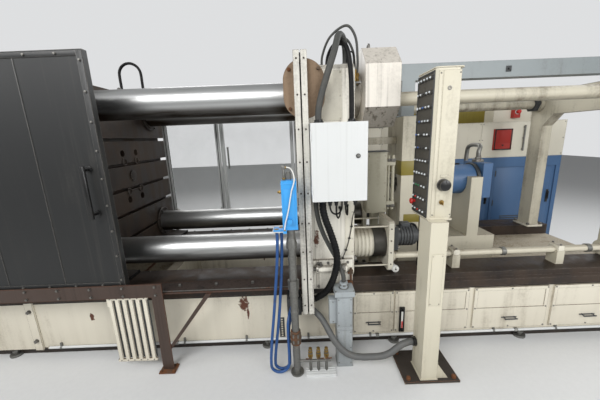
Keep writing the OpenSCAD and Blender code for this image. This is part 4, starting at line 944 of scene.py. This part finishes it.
DRIVE_Z = 818
low, high = ends("nut_drives")
bolts("drive_bolts", grid(low.x + 50, [y + dy for y in BAR_Y for dy in (-74, 74)],
    (DRIVE_Z - 74, DRIVE_Z + 74)), "x", 17, 10)
(Piece("drive_caps", dark).each("ring", grid(high.x - 4, BAR_Y, DRIVE_Z), "x", 44, 8, 10, 2)
 .blocks(4, *[(low.x + 90, y - 32, 886, low.x + 160, y + 32, 925) for y in BAR_Y]))
pipes("drive_leads", [[(low.x + x, side * y, z) for x, y, z in ((160, 425, 908), (185, 425, 908),
    (212, 428, 890), (228, 440, 830), (228, 455, 740), (228, 462, 640), (228, 465, 576))]
    for side in (-1, 1)], 9, black_rubber)


# Shot end

SHOT_Z = 1180
low, high = ends("shot_cylinder")
frame_low = ends("shot_frame")[0]
cap = high.x - 80
Piece("sleeve_flange", dark).ring((376, 0, SHOT_Z), "x", 140, 86, 22, 3, 48)
bolts("sleeve_flange_bolts", around([(387, 0, SHOT_Z)], "x", 116, 8, 0.5), "x", 24, 15)
(Piece("cylinder_collars", dark)
 .each("ring", grid((low.x + 14, cap - 18), 0, SHOT_Z), "x", 146, 132, 30, 4, 48)
 .ring((low.x + 6, 0, SHOT_Z), "x", 78, 44, 34, 3, 40))
bolts("cylinder_bolts", around([(cap + 80, 0, SHOT_Z)], "x", 108, 8, 0.5), "x", 30, 19)
bolts("gland_bolts", around([(low.x - 11, 0, SHOT_Z)], "x", 62, 6), "x", 15, -9)
(Piece("plunger_coupling", dark)
 .each("ring", grid((low.x - 162, low.x - 118), 0, SHOT_Z), "x", 73, 60, 12, 2, 40))
ports = Piece("cylinder_ports", bolt_steel)
for x, z in ((low.x + 70, SHOT_Z + 128), (cap + 40, SHOT_Z + 148)):
    ports.block((x - 34, -34, z - 4), (x + 34, 34, z + 26), 4)
    ports.rod((x, 0, z + 34), "z", 26, 20, 6, 2)
pipes("shot_pipes", [[(low.x + 70, 0, 1350), (low.x + 70, 0, 1410), (low.x + 60, 20, 1462),
    (low.x + 30, 120, 1476), (low.x, 250, 1470), (low.x - 10, 300, 1420), (low.x - 10, 306, 1240),
    (low.x - 10, 306, 800), (low.x - 10, 306, 470)], [(cap + 40, 0, 1370), (cap + 40, 0, 1420),
    (cap + 60, 20, 1465), (cap + 90, 120, 1476), (cap + 110, 250, 1466), (cap + 115, 300, 1416),
    (cap + 115, 306, 1240), (cap + 115, 306, 800), (cap + 115, 306, 470)]], 19, zinc)
# Olive blocks where the shot frame lies in shade: painted shade, not a painted band.
(Piece("shot_frame_painted_shade", olive).block((858, -192, 1258), (1032, 192, 1380), 2)
 .block((894, -192, 846), (1032, -188, 919), 1))
(Piece("shot_frame_shoes", cream)
 .blocks(3, *[(frame_low.x - 30, y - 15, 470, frame_low.x + 200, y + 15, 500) for y in (-205, 205)]))
bolts("shot_frame_bolts", grid(spread(frame_low.x - 10, frame_low.x + 180, 4), (-205, 205), 500), "z", 24, 15)
Piece("shot_frame_plugs", dark).each("rod", grid(frame_low.x + 85, -190, (1420, 1640)), "y", 22, 14, 24, 3)

low, high = ends("valve_block")
(Piece("valve_cover", beige).block((low.x + 6, -323, 990), (low.x + 154, -320, 1462), 1)
 .each("screw", grid((low.x + 16, low.x + 144), -323, spread(1010, 1440, 5)), "y", 8, -3))
Piece("valve_block_lid", dark).block((low.x - 4, -326, 1470), (low.x + 172, -196, 1478), 2)
valve = Piece("valve_solenoids", dark)
for z in (1080, 1200, 1320):
    valve.block((low.x + 20, -198, z), (low.x + 120, -120, z + 66), 4)
    valve.rod((low.x + 70, -98, z + 33), "y", 24, 46, 24, 3)
(Piece("upright_pipe_unions", bolt_steel)
 .each("rod", grid(low.x + 182, -290, (1030, 1400)), "z", 13.6, 26, 6, 1)
 .each("rod", grid(low.x + 216, -290, (1030, 1400)), "z", 20.4, 26, 6, 1))


# Strut rods, tail frame, return pipe and long beam

(Piece("strut_nuts", dark).each("rod", grid((2400, 2590), BAR_Y, 1845), "x", 78, 44, 6, 4)
 .each("ring", grid(672, BAR_Y, 1845), "x", 72, 49, 38, 4, 40))
Piece("tail_frame_feet", cream).blocks(3, *[(2430, y - 105, 575, 2590, y + 105, 597) for y in BAR_Y])
bolts("tail_frame_bolts", grid((2445, 2575), [y + dy for y in BAR_Y for dy in (-88, 88)], 597), "z", 24, 15)

RETURN_Y, RETURN_Z = -500, 682
low, high = ends("return_pipe")
clamps = Piece("pipe_clamps", cream)
for x in (1180, 1980):
    clamps.plate([(x - 24, 632), (x + 24, 632), (x + 24, 716), (x + 16, 724), (x - 16, 724), (x - 24, 716)],
                 "y", RETURN_Y - 44, RETURN_Y + 44, 3)
bolts("pipe_clamp_bolts", grid((1180, 1980), (RETURN_Y - 34, RETURN_Y + 34), RETURN_Z + 42), "z", 13, 8)
bolts("pipe_flange_bolts", around([(low.x + 22, RETURN_Y, RETURN_Z)], "x", 34, 4, 0.5), "x", 10, 7)
bolts("pipe_end_bolts", around([(high.x, RETURN_Y, RETURN_Z)], "x", 42, 4, 0.5), "x", 15, 9)
Piece("pipe_sleeves", zinc).each("ring", grid((930, 1560, 2220), RETURN_Y, RETURN_Z), "x", 33, 26, 34, 3, 32)

low, high = ends("top_beam")
(Piece("beam_plates", beam_blue)
 .blocks(2, (845, -62, 1740, 1045, 62, 1752), (low.x - 8, -58, 2026, low.x, 58, 2168)))
bolts("beam_foot_bolts", grid((862, 1028), (-46, 46), 1752), "z", 19, 12)
bolts("beam_arm_bolts", grid((2992, 3048), (900, 960), 1972), "z", 16, -10, washer=False)
(Piece("beam_hook", dark).block((1745, -56, 2072), (1790, -50, 2118), 3)
 .rod((1767, -64, 2095), "y", 9, 20, 16, 2))


# Bed and its covers

BED_FACE = -625
COVER_FACE = -637
COVERS = ((375, 680), (690, 1250), (1290, 1850), (1890, 2450))
RIBS = (-4440, -3700, -2950, -2100, 2580)
screws = Piece("cover_screws", bolt_steel)
inset = Piece("cover_handles", dark)
for first, last in COVERS:
    screws.each("screw", grid(spread(first + 11, last - 11, 3), COVER_FACE, (121, 439))
                + grid((first + 11, last - 11), COVER_FACE, 280), "y", 12, -4)
    middle = (first + last) / 2
    inset.block((middle - 60, COVER_FACE - 1, 190), (middle + 60, COVER_FACE, 202), 0.6)
    for x in (middle - 40, middle + 40):
        inset.turned([(4, -26), (4, -4), (8, 0)], (x, COVER_FACE, 196), "y", 12)
    inset.block((middle - 50, COVER_FACE - 30, 191), (middle + 50, COVER_FACE - 22, 201), 3)
(Piece("bed_edge_strips", grease_dark)
 .blocks(1.5, (-2050, BED_FACE - 3, 452, 2520, BED_FACE, 470),
     (-4380, BED_FACE - 3, 452, -2110, BED_FACE, 470))
 .blocks(1, (-2040, BED_FACE - 2, 65, 2520, BED_FACE, 78)))
bolts("bed_rib_bolts_front", grid([x + 30 for x in RIBS], -639, (150, 400)), "y", 24, -15)
bolts("bed_rib_bolts_rear", grid([x + 30 for x in RIBS], 639, (150, 400)), "y", 24, 15)
(Piece("way_screws", grease_dark, "greasy_steel")
 .each("screw", grid(spread(-2760, -180, 13), (-622, -402, 402, 622), 575), "z", 18, 4))
pads = Piece("bed_jacking_feet", zinc)
for place, radius, length, sides, edge in ((9, 42, 18, 24, 2), (30, 15, 40, 16, 1), (38, 24, 16, 6, 2)):
    pads.each("rod", grid((-4300, -3300, -2300, -1300, -300, 700, 1700, 2500), (-600, 600), place), "z",
              radius, length, sides, edge)
# Dark sheets on the recessed kick strip along the foot of the bed: painted shade under the overhang of the
# bed face.
(Piece("bed_kick_painted_shade", grease_dark)
 .blocks(1, (-4470, -588, 0, 2670, -585, 65), (-4470, 585, 0, 2670, 588, 65)))
Piece("bed_vent_strip", dark).block((-196, BED_FACE - 4, 92), (-156, BED_FACE, 262), 1.5)
(Piece("bed_vent_holes", cream_dull)
 .each("rod", grid(-176, BED_FACE - 4.2, spread(106, 246, 8)), "y", 7.5, 1, 16))

# Oil level gauge on the first long cover, with its glass and float
(Piece("level_gauge", black_plastic).block((722, COVER_FACE - 14, 112), (762, COVER_FACE, 322), 3)
 .each("rod", grid(742, COVER_FACE - 18, (128, 306)), "y", 11, 8, 6, 1))
Piece("level_gauge_glass", white_tube).block((735, COVER_FACE - 17, 148), (749, COVER_FACE - 13, 288), 1.5)
(Piece("level_gauge_float", red_plastic)
 .block((737, COVER_FACE - 18.4, 150), (747, COVER_FACE - 16.6, 208), 0.6))

# Pipe at the foot of the bed, with clips and unions
DRAIN_Y, DRAIN_Z = -632, 80
clip_places = spread(-1900, 2430, 10)
Piece("drain_pipe_coat", profile).ring((260, DRAIN_Y, DRAIN_Z), "x", 10, 8.6, 4508, 0.6, 24)
(Piece("drain_pipe_clips", zinc).each("ring", grid(clip_places, DRAIN_Y, DRAIN_Z), "x", 13, 9, 16, 1.5, 20)
 .blocks(2, *[(x - 8, -636, 88, x + 8, -622, 118) for x in clip_places])
 .each("rod", grid((-1000, 560, 1640), DRAIN_Y, DRAIN_Z), "x", 16, 26, 6, 1.5))

# Covers on the rear girder, kept thin and inside its ribs
panels = Piece("rear_covers", cream_bed)
screws = Piece("rear_cover_screws", bolt_steel)
for first, last in ((-4360, -3720), (-3620, -2970), (-2870, -2120), (-2010, -1210), (-1180, -380),
                    (-350, 450), (480, 1280), (1310, 2110)):
    panels.blocks(2, (first, 625, 110, last, 631, 440), (first + 30, 631, 280, last - 30, 634, 414))
    screws.each("screw", grid(spread(first + 14, last - 14, 4), 631, (122, 428)), "y", 12, 4)


# Front door, its shelf and the slats

low, high = ends("door_track")
bolts("track_bolts", grid(spread(low.x + 90, high.x - 80, 11), -700, 600), "z", 19, 12)
bolts("fascia_bolts", grid(spread(-2740, -1000, 9), -815, (604, 662)), "y", 14, -8)
legs = Piece("track_leg_plates", rusty)
for x in (-2700, -1030):
    legs.block((x - 20, -850, 0), (x + 95, -765, 9), 2)
    legs.each("bolt", grid((x - 8, x + 83), (-838, -779), 9), "z", 15, 9)
Piece("track_wear_strip", bolt_steel).block((low.x + 10, -779, 600), (high.x - 10, -771, 606), 1.5)
(Piece("track_stops", black_rubber)
 .blocks(3, *[(x, -787, 600, x + 24, -763, 632) for x in (low.x + 20, high.x - 44)]))
Piece("slat_backing", dark).block((-1355, -782, 95), (-1075, -779, 560), 1)
Piece("slat_screws", bolt_steel).each("screw", grid(spread(-1332, -1097, 6), -795, (80, 571)), "y", 9, -3)

DOOR_FACE = -795
DOOR = "operator_door"
(Piece("door_trims", door_paint, body=DOOR)
 .blocks(2, *[(x, DOOR_FACE - 5, 668, x + 34, DOOR_FACE, 2132) for x in (-2750, -1234)])
 .blocks(1.5, (-2716, DOOR_FACE - 4, 2104, -1234, DOOR_FACE, 2132),
     (-2716, DOOR_FACE - 4, 668, -1234, DOOR_FACE, 700)))
(Piece("door_seams", door_paint, body=DOOR)
 .blocks(1, *[(x - 3, DOOR_FACE - 2.5, 702, x + 3, DOOR_FACE, 2102) for x in (-2360, -1980, -1600)]))
bolts("door_bolts", grid((-2733, -1217), DOOR_FACE - 5, spread(720, 2080, 9))
      + grid(spread(-2600, -1350, 8), DOOR_FACE - 4, (2118, 684)), "y", 12, -7, body=DOOR)
(Piece("door_handle", black_plastic, body=DOOR).rod((-1292, DOOR_FACE - 52, 1320), "z", 12, 330, 20, 2)
 .each("rod", grid(-1292, DOOR_FACE - 26, (1180, 1460)), "y", 9, 52, 16)
 .each("rod", grid(-1292, DOOR_FACE - 3, (1180, 1460)), "y", 22, 6, 24, 1.5))
(Piece("door_wheel_axles", bolt_steel, body=DOOR)
 .each("rod", grid((-2600, -1350), DOOR_FACE - 2, 634), "y", 11, 12, 6, 1.5)
 .each("ring", grid((-2600, -1350), DOOR_FACE + 24, 634), "y", 20, 9, 8, 1))


# Control stand

HEAD_FACE = -935
(Piece("head_covers", cream_stand)
 .blocks(1, (768, HEAD_FACE - 2, 1110, 788, HEAD_FACE, 1925),
     (792, HEAD_FACE - 2, 1110, 889, HEAD_FACE, 1925))
 .blocks(0.8, (811, HEAD_FACE - 4, 1348, 861, HEAD_FACE - 2, 1361)))
(Piece("head_caps", cream_stand)
 .plate([(750, -713), (750, -925), (766, -939), (896, -939), (912, -917), (912, -713)], "z", 1937, 1944, 2)
 .plate([(753, -716), (753, -924), (767, -937), (895, -937), (910, -916), (910, -716)], "z", 1089, 1095, 1.5))
(Piece("panel_rim", dark)
 .blocks(1, (747, -923, 1104, 752, -715, 1112), (747, -923, 1920, 752, -715, 1928),
     (747, -923, 1104, 752, -917, 1928), (747, -721, 1104, 752, -715, 1928)))
KIND_OF = {(4, 8): "large", (2, 9): "black", (2, 8): "blue", (3, 7): "blue", (4, 7): "black", (4, 6): "blue",
    (2, 6): "black", (2, 5): "black", (3, 5): "blue", (3, 3): "large", (3, 2): "green", (2, 2): "green",
    (2, 0): "red", (3, 1): "red", (1, 5): "black"}
FIRST_BUTTON = (-897, 1135)
BUTTON_GAPS = (37.5, 76.2)
lens_at = {}
for column, row in itertools.product(range(5), range(11)):
    place = (FIRST_BUTTON[0] + column * BUTTON_GAPS[0], FIRST_BUTTON[1] + row * BUTTON_GAPS[1])
    lens_at.setdefault(KIND_OF.get((column, row), "clear"), []).append(place)
(Piece("button_collars", dark)
 .each("ring", [(749.5, *place) for places in lens_at.values() for place in places], "x", 12.5, 10.1, 4, 1,
     20))
for kind, material in (("clear", lamp_clear), ("blue", blue_plastic), ("green", green_plastic),
                       ("red", red_plastic), ("black", black_plastic), ("large", lamp_clear)):
    size = 1.45 if kind == "large" else 1.0
    profile_line = [(0, 7), (3.4 * size, 6.2), (5.6 * size, 3.6), (6.4 * size, 0), (6.4 * size, -3)]
    lens = Piece("button_lenses_" + kind, material, "button_plate")
    for place in lens_at[kind]:
        lens.turned(profile_line, (739, *place), "-x", 16)
(Piece("panel_stop_button", red_plastic)
 .turned([(0, 34), (9, 33), (17, 29), (20, 22), (18, 17), (10, 14), (10, -2)], (751, -747, 1172), "-x"))
Piece("knob_collar", bolt_steel).ring((830, HEAD_FACE - 3, 1305), "y", 37, 31, 6, 1.5)
(Piece("knob_cap", black_plastic)
 .turned([(0, -37), (20, -37), (30, -34.5), (33, -29), (33, -6), (0, -6)], (830, HEAD_FACE, 1305), "y", 36)
 .block((828.5, HEAD_FACE - 38, 1318), (831.5, HEAD_FACE - 35, 1334), 0.8))
(Piece("key_switch", brass).ring((826, HEAD_FACE - 8, 1202), "y", 13.5, 6, 6, 1.5, 24)
 .rod((826, HEAD_FACE - 11, 1202), "y", 7, 8, 20, 1)
 .block((824.4, HEAD_FACE - 30, 1188), (827.6, HEAD_FACE - 12, 1206), 0.8))
(Piece("head_screws", bolt_steel).each("screw", grid((778, 882), HEAD_FACE - 2, (1125, 1910)), "y", 8, -3)
 .each("screw", grid(908, (-895, -745), spread(1150, 1880, 5)), "x", 8, 3)
 .ring((828, HEAD_FACE - 4, 1833), "y", 11, 5, 5, 1, 24))
(Piece("head_rear_door", cream_stand).block((775, -715, 1140), (888, -711, 1890), 1.5)
 .each("rod", grid(881, -708, (1330, 1700)), "z", 6, 60, 16, 1)
 .block((786, -711, 1500), (798, -700, 1560), 2))

Piece("stand_base_skin", foot_dark).block((639.7, -1010.3, 0), (1000.3, -729.7, 16.5), 2)
bolts("stand_bolts", grid((670, 970), (-985, -755), 16.5), "z", 24, 15, rusty)
Piece("stand_foot", cream_stand).block((742, -1001, 16), (858, -839, 23), 3)
(Piece("stand_hatch", cream_stand).block((765, -998, 560), (835, -995, 900), 1)
 .each("screw", grid((773, 827), -998, (572, 888)), "y", 7, -2.5))
(Piece("stand_gland", black_plastic, "black_rubber").rod((742, -888, 225), "x", 32, 12, 6, 2)
 .ring((730, -888, 225), "x", 29, 22, 14, 2))


# Cable duct, pipe post and regulator

(Piece("duct_hub_collar", zinc).ring((275, -790, 592), "z", 34, 27, 6, 1.5)
 .rod((275, -790, 616), "z", 32, 12, 6, 2))
(Piece("duct_bands", duct_grey)
 .blocks(2, (220, -842, 300, 330, -738, 312), (218, -844, 0, 332, -736, 10), (170, -823, 505, 224, -762, 519))
 .blocks(1, (226, -843, 22, 324, -840, 290), (226, -843, 322, 324, -840, 540)))
(Piece("duct_screws", bolt_steel)
 .each("screw", grid((234, 316), -843, (34, 156, 278, 334, 430, 528)) + grid(197, -820, (350, 500)), "y", 8,
     -3)
 .each("screw", grid((214, 336), (-844, -736), 590), "z", 10, 4))

POST_X, POST_Y = -64, -875
(Piece("pipe_unions", rusty).each("ring", grid(POST_X, POST_Y, (242, 328)), "z", 33, 24, 18, 3)
 .rod((POST_X, POST_Y, 285), "z", 37.5, 71, 6, 3).ring((POST_X, POST_Y, 285), "z", 39, 30, 16, 3))
(Piece("pipe_reducer", zinc)
 .turned([(34, 0), (34, 30), (27, 66), (24, 66), (24, 0), (34, 0)], (POST_X, POST_Y, 930)))
(Piece("pipe_clips", zinc).each("ring", grid(POST_X, POST_Y, (480, 860)), "z", 28, 24, 22, 1.5)
 .blocks(2, *[(POST_X - 8, POST_Y + 24, z - 11, POST_X + 8, POST_Y + 52, z + 11) for z in (480, 860)]))
TAPS = (30, 85, 140)
TAP_Z = 140
valves = Piece("tap_bodies", brass)
for z, radius, length, edge in (
        (TAP_Z, 19, 24, 2), (118, 16, 12, 1.5), (166, 16, 14, 1.5), (186, 13, 12, 1.5)):
    valves.each("rod", grid(TAPS, POST_Y, z), "z", radius, length, 6, edge)
valves.each("rod", grid(TAPS, POST_Y - 22, TAP_Z), "y", 9, 30, 16, 1.5)
(Piece("tap_handles", rusty)
 .blocks(1.5, *[(x, POST_Y - 41, 137, x + 34, POST_Y - 37, 145) for x in (-4, 85, 140)])
 .each("rod", grid(TAPS, POST_Y - 39, 141), "y", 8, 8, 6, 1))
(Piece("rack_channel", profile)
 .blocks(1.5, *[(-2, y, 12, 202, y + 7, 19) for y in range(POST_Y - 47, POST_Y + 11, 19)],
     (-3, POST_Y - 48, 0, 203, POST_Y + 28, 12.6)))

(Piece("regulator_seams", box_blue)
 .blocks(2, (-111, -922, 1338, -17, -828, 1346), (-111, -922, 1060, -17, -828, 1068))
 .blocks(1.5, (-96, -923, 1086, -32, -920, 1312)))
(Piece("regulator_riser", zinc).rod((-92, -878, 1393), "z", 7.2, 64, 16, 1)
 .block((-101, -887, 1422), (-82, -869, 1446), 2).ring((POST_X, POST_Y, 1382), "z", 18.6, 15, 40, 2, 28)
 .rod((POST_X, POST_Y, 1404), "z", 12, 12, 20, 2))
(Piece("regulator_fittings", brass).rod((-92, -878, 1368), "z", 11, 12, 6, 1)
 .rod((-80, -878, 1434), "x", 8, 9, 6, 1).rod((-98, -934, 1062), "z", 8, 10, 6, 1)
 .each("rod", [(-125, -855, 1054), (-150, -895, 1054)], "z", 15, 16, 6, 1.5)
 .rod((-116, -875, 1288), "x", 11, 16, 6, 1.5).rod((-128, -875, 1288), "x", 7, 12, 16, 1))
(Piece("regulator_bracket_skin", white_tube)
 .blocks(1, (-172, -924, 1047, -108, -838, 1050), (-172, -924, 1047, -169, -838, 1064)))


# Moving platen, tie bars and clamp end

CLAMP_Z = 1328
SLIDER = "clamping_platen"
low, high = ends("moving_platen")
(Piece("bar_wipers", grease_dark, "greasy_steel", SLIDER)
 .each("ring", grid(high.x + 9, BAR_Y, BAR_Z), "x", 148, 108, 18, 3, 48)
 .each("ring", grid(low.x - 8, BAR_Y, BAR_Z), "x", 140, 108, 16, 3, 48))
bolts("wiper_bolts", around(grid(high.x + 18, BAR_Y, BAR_Z), "x", 129, 8, 0.5), "x", 15, 9, grease_dark,
    SLIDER)
(Piece("ejector_bushes", grease_dark, body=SLIDER)
 .each("ring", grid(high.x + 3, (-90, 90), (1198, 1458)), "x", 32, 24, 8, 1.5)
 .rod((high.x + 4, 0, CLAMP_Z), "x", 46, 10, 32, 2))
(Piece("platen_ports", bolt_steel, body=SLIDER)
 .each("rod", grid((-1750, -1536), 475, 2046), "z", 25, 12, 6, 1.5)
 .each("ring", grid((-1750, -1536), 475, 2060), "z", 19, 12.6, 18, 2, 24)
 .block((-1790, 430, 2040), (-1700, 520, 2052), 2)
 .each("eye", grid(-1640, (-250, 250), 2040), 34, 16, 24, 30, 9, 44))
for end, y, head in (("front", -675, -15), ("rear", 675, 15)):
    bolts("platen_side_bolts_" + end, grid(spread(-1740, -1540, 3), y, (900, 1760)), "y", 24, head,
        grease_dark, SLIDER)
pipes("platen_grease_lines", [[(-1600, -676, 1960), (-1600, -682, 1900), (-1600, -682, 1500),
    (-1602, -682, 1100), (-1602, -680, 760), (-1602, -660, 690)],
    [(-1625, -676, 1960), (-1625, -682, 1890), (-1625, -682, 1500), (-1625, -682, 1200),
    (-1625, -682, 1050)]], 4, bolt_steel, SLIDER)
Piece("platen_grease_block", bolt_steel, body=SLIDER).block((-1640, -700, 1955), (-1585, -675, 1990), 2)
low, high = ends("platen_shoes")
(Piece("shoe_wipers", black_rubber, body=SLIDER)
 .blocks(1.5, *[(x, y, 577, x + 8, y + 215, 600) for x in (high.x, low.x - 8) for y in (-620, 405)]))

low, high = ends("rear_platen")
nuts_low = ends("rear_nuts")[0]
cylinder_low, cylinder_high = ends("clamp_cylinder")
bolts("rear_collar_bolts", around(grid(low.x - 1, BAR_Y, BAR_Z), "x", 158, 8, 0.5), "x", 30, -19, grease_dark)
(Piece("rear_nut_rings", grease_dark)
 .each("ring", grid(nuts_low.x + 4, BAR_Y, BAR_Z), "x", 128, 106, 24, 4, 40)
 .each("rod", grid(nuts_low.x - 62, BAR_Y, BAR_Z), "x", 60, 8, 32, 2)
 .each("rod", grid(nuts_low.x - 68, BAR_Y, BAR_Z), "x", 22, 8, 6, 1.5))
for name, x, radius, count, across, head in (("clamp_flange_bolts", cylinder_high.x - 60, 331, 20, 30, -19),
        ("clamp_end_bolts", -4390, 285, 16, 30, -19), ("clamp_cap_bolts", cylinder_low.x, 190, 10, 24, -15),
        ("ram_gland_bolts", high.x + 28, 240, 12, 24, 15)):
    bolts(name, around([(x, 0, CLAMP_Z)], "x", radius, count), "x", across, head)
Piece("clamp_bands", cream).each("ring", grid((-4150, -3900, -3620), 0, CLAMP_Z), "x", 318, 306, 36, 4, 56)
(Piece("clamp_cap_hub", dark).rod((cylinder_low.x - 14, 0, CLAMP_Z), "x", 90, 28, 40, 4)
 .rod((cylinder_low.x - 34, 0, CLAMP_Z), "x", 34, 14, 6, 2))
CLAMP_PORTS = (-4250, -3480)
(Piece("clamp_ports", bolt_steel).blocks(5, *[(x - 60, -60, 1628, x + 60, 60, 1665) for x in CLAMP_PORTS])
 .each("rod", grid(CLAMP_PORTS, 0, 1678), "z", 52, 26, 32, 3))
bolts("clamp_port_bolts", grid([x + dx for x in CLAMP_PORTS for dx in (-48, 48)], (-48, 48), 1665), "z", 15,
    9)
pipes("clamp_pipes", [[(x, 0, 1690), (x, 0, 1780), (x, 40, 1858), (x, 130, 1892), (x, 270, 1880),
    (x, 345, 1820), (x, 362, 1700), (x, 366, 1300), (x, 366, 900), (x, 366, 476)] for x in CLAMP_PORTS], 30,
    zinc)
Piece("clamp_pipe_flanges", bolt_steel).each("ring", grid(CLAMP_PORTS, 366, 482), "z", 46, 30, 20, 3)
saddle = Piece("clamp_saddles", cream_bed)
for x in (-4120, -3620):
    saddle.plate([(-360, 470), (360, 470), (360, 520), (250, 1010), (200, 1052), (-200, 1052), (-250, 1010),
                  (-360, 520)], "x", x - 25, x + 25, 3)
Piece("rear_platen_eyes", bolt_steel).each("eye", grid((low.x + high.x) / 2, (-300, 300), high.z))
Piece("ram_gland", dark).ring((high.x + 14, 0, CLAMP_Z), "x", 262, 214, 28, 4, 56)


# Rear guard

GUARD_LEFT, GUARD_RIGHT, GUARD_POST = -1520, -927, -22
LEAF = "back_door"
for name, body, xs, y, foot in (("guard_corner_brackets", "machine", (-1500, -947), 762, 790),
                                ("sliding_leaf_fittings", LEAF, (-863, -90), 808, 762)):
    corners = Piece(name, bolt_steel, body=body)
    for x, way in zip(xs, (1, -1)):
        for z, up in ((foot, 1), (2010, -1)):
            corners.plate([(x, z), (x + way * 36, z), (x, z + up * 36)], "y", y, y + 36, 1.5)
corners.rod((-840, 872, 1400), "z", 11, 260, 20, 2).each("rod", grid(-840, 859, (1290, 1510)), "y", 8, 26, 16)
(Piece("guard_grooves", dark)
 .blocks(0.6, *[(x - 4, 758.5, 756, x + 4, 761, 2044) for x in (GUARD_LEFT, GUARD_RIGHT, GUARD_POST)],
     *[(-1534, 758.5, z - 4, -8 if z in (730, 2070) else -913, 761, z + 4) for z in (730, 770, 2030, 2070)],
     *[(x - 4, 758.5, 6, x + 4, 761, 704) for x in (GUARD_LEFT, GUARD_POST)]))
(Piece("sliding_leaf_grooves", dark, body=LEAF)
 .blocks(0.6, *[(x - 4, 845.2, 740, x + 4, 847.4, 2034) for x in (-883, -70)],
     *[(-897, 845.2, z - 4, -56, 847.4, z + 4) for z in (742, 2030)]))
(Piece("guard_gasket", black_rubber)
 .blocks(1, *[(-1500, 775, z - 3, -947, 786, z + 3) for z in (790, 2010)],
     *[(x - 3, 775, 790, x + 3, 786, 2010) for x in (-1500, -947)]))
feet = Piece("guard_feet", bolt_steel)
for x in (GUARD_LEFT, GUARD_POST):
    feet.block((x - 45, 745, 0), (x + 45, 815, 8), 2).each("bolt", grid((x - 33, x + 33), 780, 8), "z", 13, 8)
Piece("leaf_stops", black_rubber).blocks(2, *[(x, 802, 2062, x + 24, 846, 2084) for x in (-1536, -30)])


# Power unit and the panel over it

UNIT_FACE = 875
low, high = ends("power_cabinet")
handles = Piece("cabinet_handles", black_plastic)
hinges = Piece("cabinet_hinges", dark)
for first, last in ((1640, 2380), (2410, 3150)):
    handles.block((last - 70, UNIT_FACE + 2, 700), (last - 42, UNIT_FACE + 12, 860), 3)
    handles.rod((last - 56, UNIT_FACE - 6, 830), "y", 10, 18, 20, 2)
    handles.block((last - 61, UNIT_FACE - 16, 742), (last - 51, UNIT_FACE - 6, 838), 2)
    hinges.each("rod", grid(first + 6, UNIT_FACE + 4, (340, 710, 1080)), "z", 8, 70, 16, 1.5)
(Piece("cabinet_louvres", dark)
 .blocks(2, *[(x, UNIT_FACE + 3, z, x + 380, UNIT_FACE + 12.5, z + 12) for x in (1760, 2530)
     for z in range(320, 530, 26)]))
(Piece("cabinet_doors", cabinet_blue)
 .blocks(1.5, *[(x, UNIT_FACE + 9, 268, x + 688, UNIT_FACE + 12.4, 1152) for x in (1646, 2416)]))
Piece("cabinet_slot", black_plastic).block((1660, UNIT_FACE - 2, 1196), (1960, UNIT_FACE, 1232), 2)
(Piece("cabinet_rear_seams", dark)
 .blocks(0, *[(x - 4, high.y - 2, 110, x + 4, high.y + 0.3, 1200) for x in (1640, 2148, 2656, 3164)],
     *[(1636, high.y - 2, z - 4, 3168, high.y + 0.3, z + 4) for z in (110, 1200)]))
(Piece("cabinet_screws", bolt_steel)
 .each("screw", grid(low.x, (910, 1460), spread(200, 1180, 4)), "x", 11, -3.5))
FAN_Y, FAN_Z = 1190, 860
fan = Piece("cabinet_fan_guard", dark).ring((low.x - 4, FAN_Y, FAN_Z), "x", 130, 108, 12, 3, 48)
for radius in range(24, 105, 20):
    fan.ring((low.x - 3, FAN_Y, FAN_Z), "x", radius, radius - 4, 5, 1, 36)

panels = Piece("panel_sheets", cream)
screws = Piece("panel_screws", bolt_steel)
for first, last in ((506, 990), (996, 1590), (1596, 2190), (2196, 2790), (2796, 3192)):
    panels.block((first, UNIT_FACE - 2.5, 1290), (last, UNIT_FACE, 1688), 1.2)
    screws.each("screw", grid((first + 14, last - 14), UNIT_FACE - 2.5, (1304, 1489, 1674)), "y", 11, -3.5)
# Olive sheets in the channel behind the panel, where it lies in shade: painted shade, not a lining.
(Piece("channel_painted_shade", olive).block((710, 1176, 1700), (2404, 1179, 1936), 1.5)
 .block((700, 1176, 1934), (2404, 1196, 1944), 2))
(Piece("trip_box_frame", black_plastic)
 .blocks(1, *[(x, 846.5, 1370, x + 12, 850, 1615) for x in (2340, 2533)],
     *[(2340, 846.5, z, 2545, 850, z + 12) for z in (1370, 1603)])
 .rod((2442, 847, 1425), "y", 9, 8, 20, 1))
Piece("trip_box_door", red).block((2358, 847, 1448), (2527, 850, 1597), 1.5)
STOP_BUTTON = (2660, 962, 1810)
Piece("stop_button_collar", profile).ring(STOP_BUTTON, "y", 29, 15, 8, 2, 28)
(Piece("stop_button_head", red_plastic)
 .turned([(0, -42), (12, -41), (20, -36), (23, -28), (21, -20), (12, -17), (12, 0)], STOP_BUTTON, "y"))
(Piece("panel_conduit", zinc).ring((2700, 860, 1500), "z", 9, 7, 300, 1, 16)
 .blocks(2, *[(2686, 862, z - 6, 2714, 875, z + 6) for z in (1370, 1500, 1630)]))
(Piece("panel_post_foot", bolt_steel).block((500, 880, 0), (640, 990, 9), 2)
 .each("bolt", grid((512, 628), (892, 978), 9), "z", 15, 9))


# Junction box behind the closing posts, and the ties of the power unit

(Piece("junction_box_lid", dark).block((-116, -763, 376), (-24, -760, 494), 1)
 .each("screw", grid((-108, -32), -763, (384, 486)), "y", 7, -2.5))
(Piece("junction_box_glands", black_plastic, "black_rubber").ring((-14, -710, 446), "x", 33, 24.4, 12)
 .ring((-14, -710, 395), "x", 31, 22.4, 12)
 .each("ring", grid((-90, -50), -765, 440), "y", 14, 10.2, 10, 1.5, 20))
(Piece("tie_plates", dark)
 .blocks(2, *[(x - 20, y, 60, x + 100, y + 8, 160) for x in (1700, 2440) for y in (626, 866)]))

for piece in pieces:
    piece.finish()
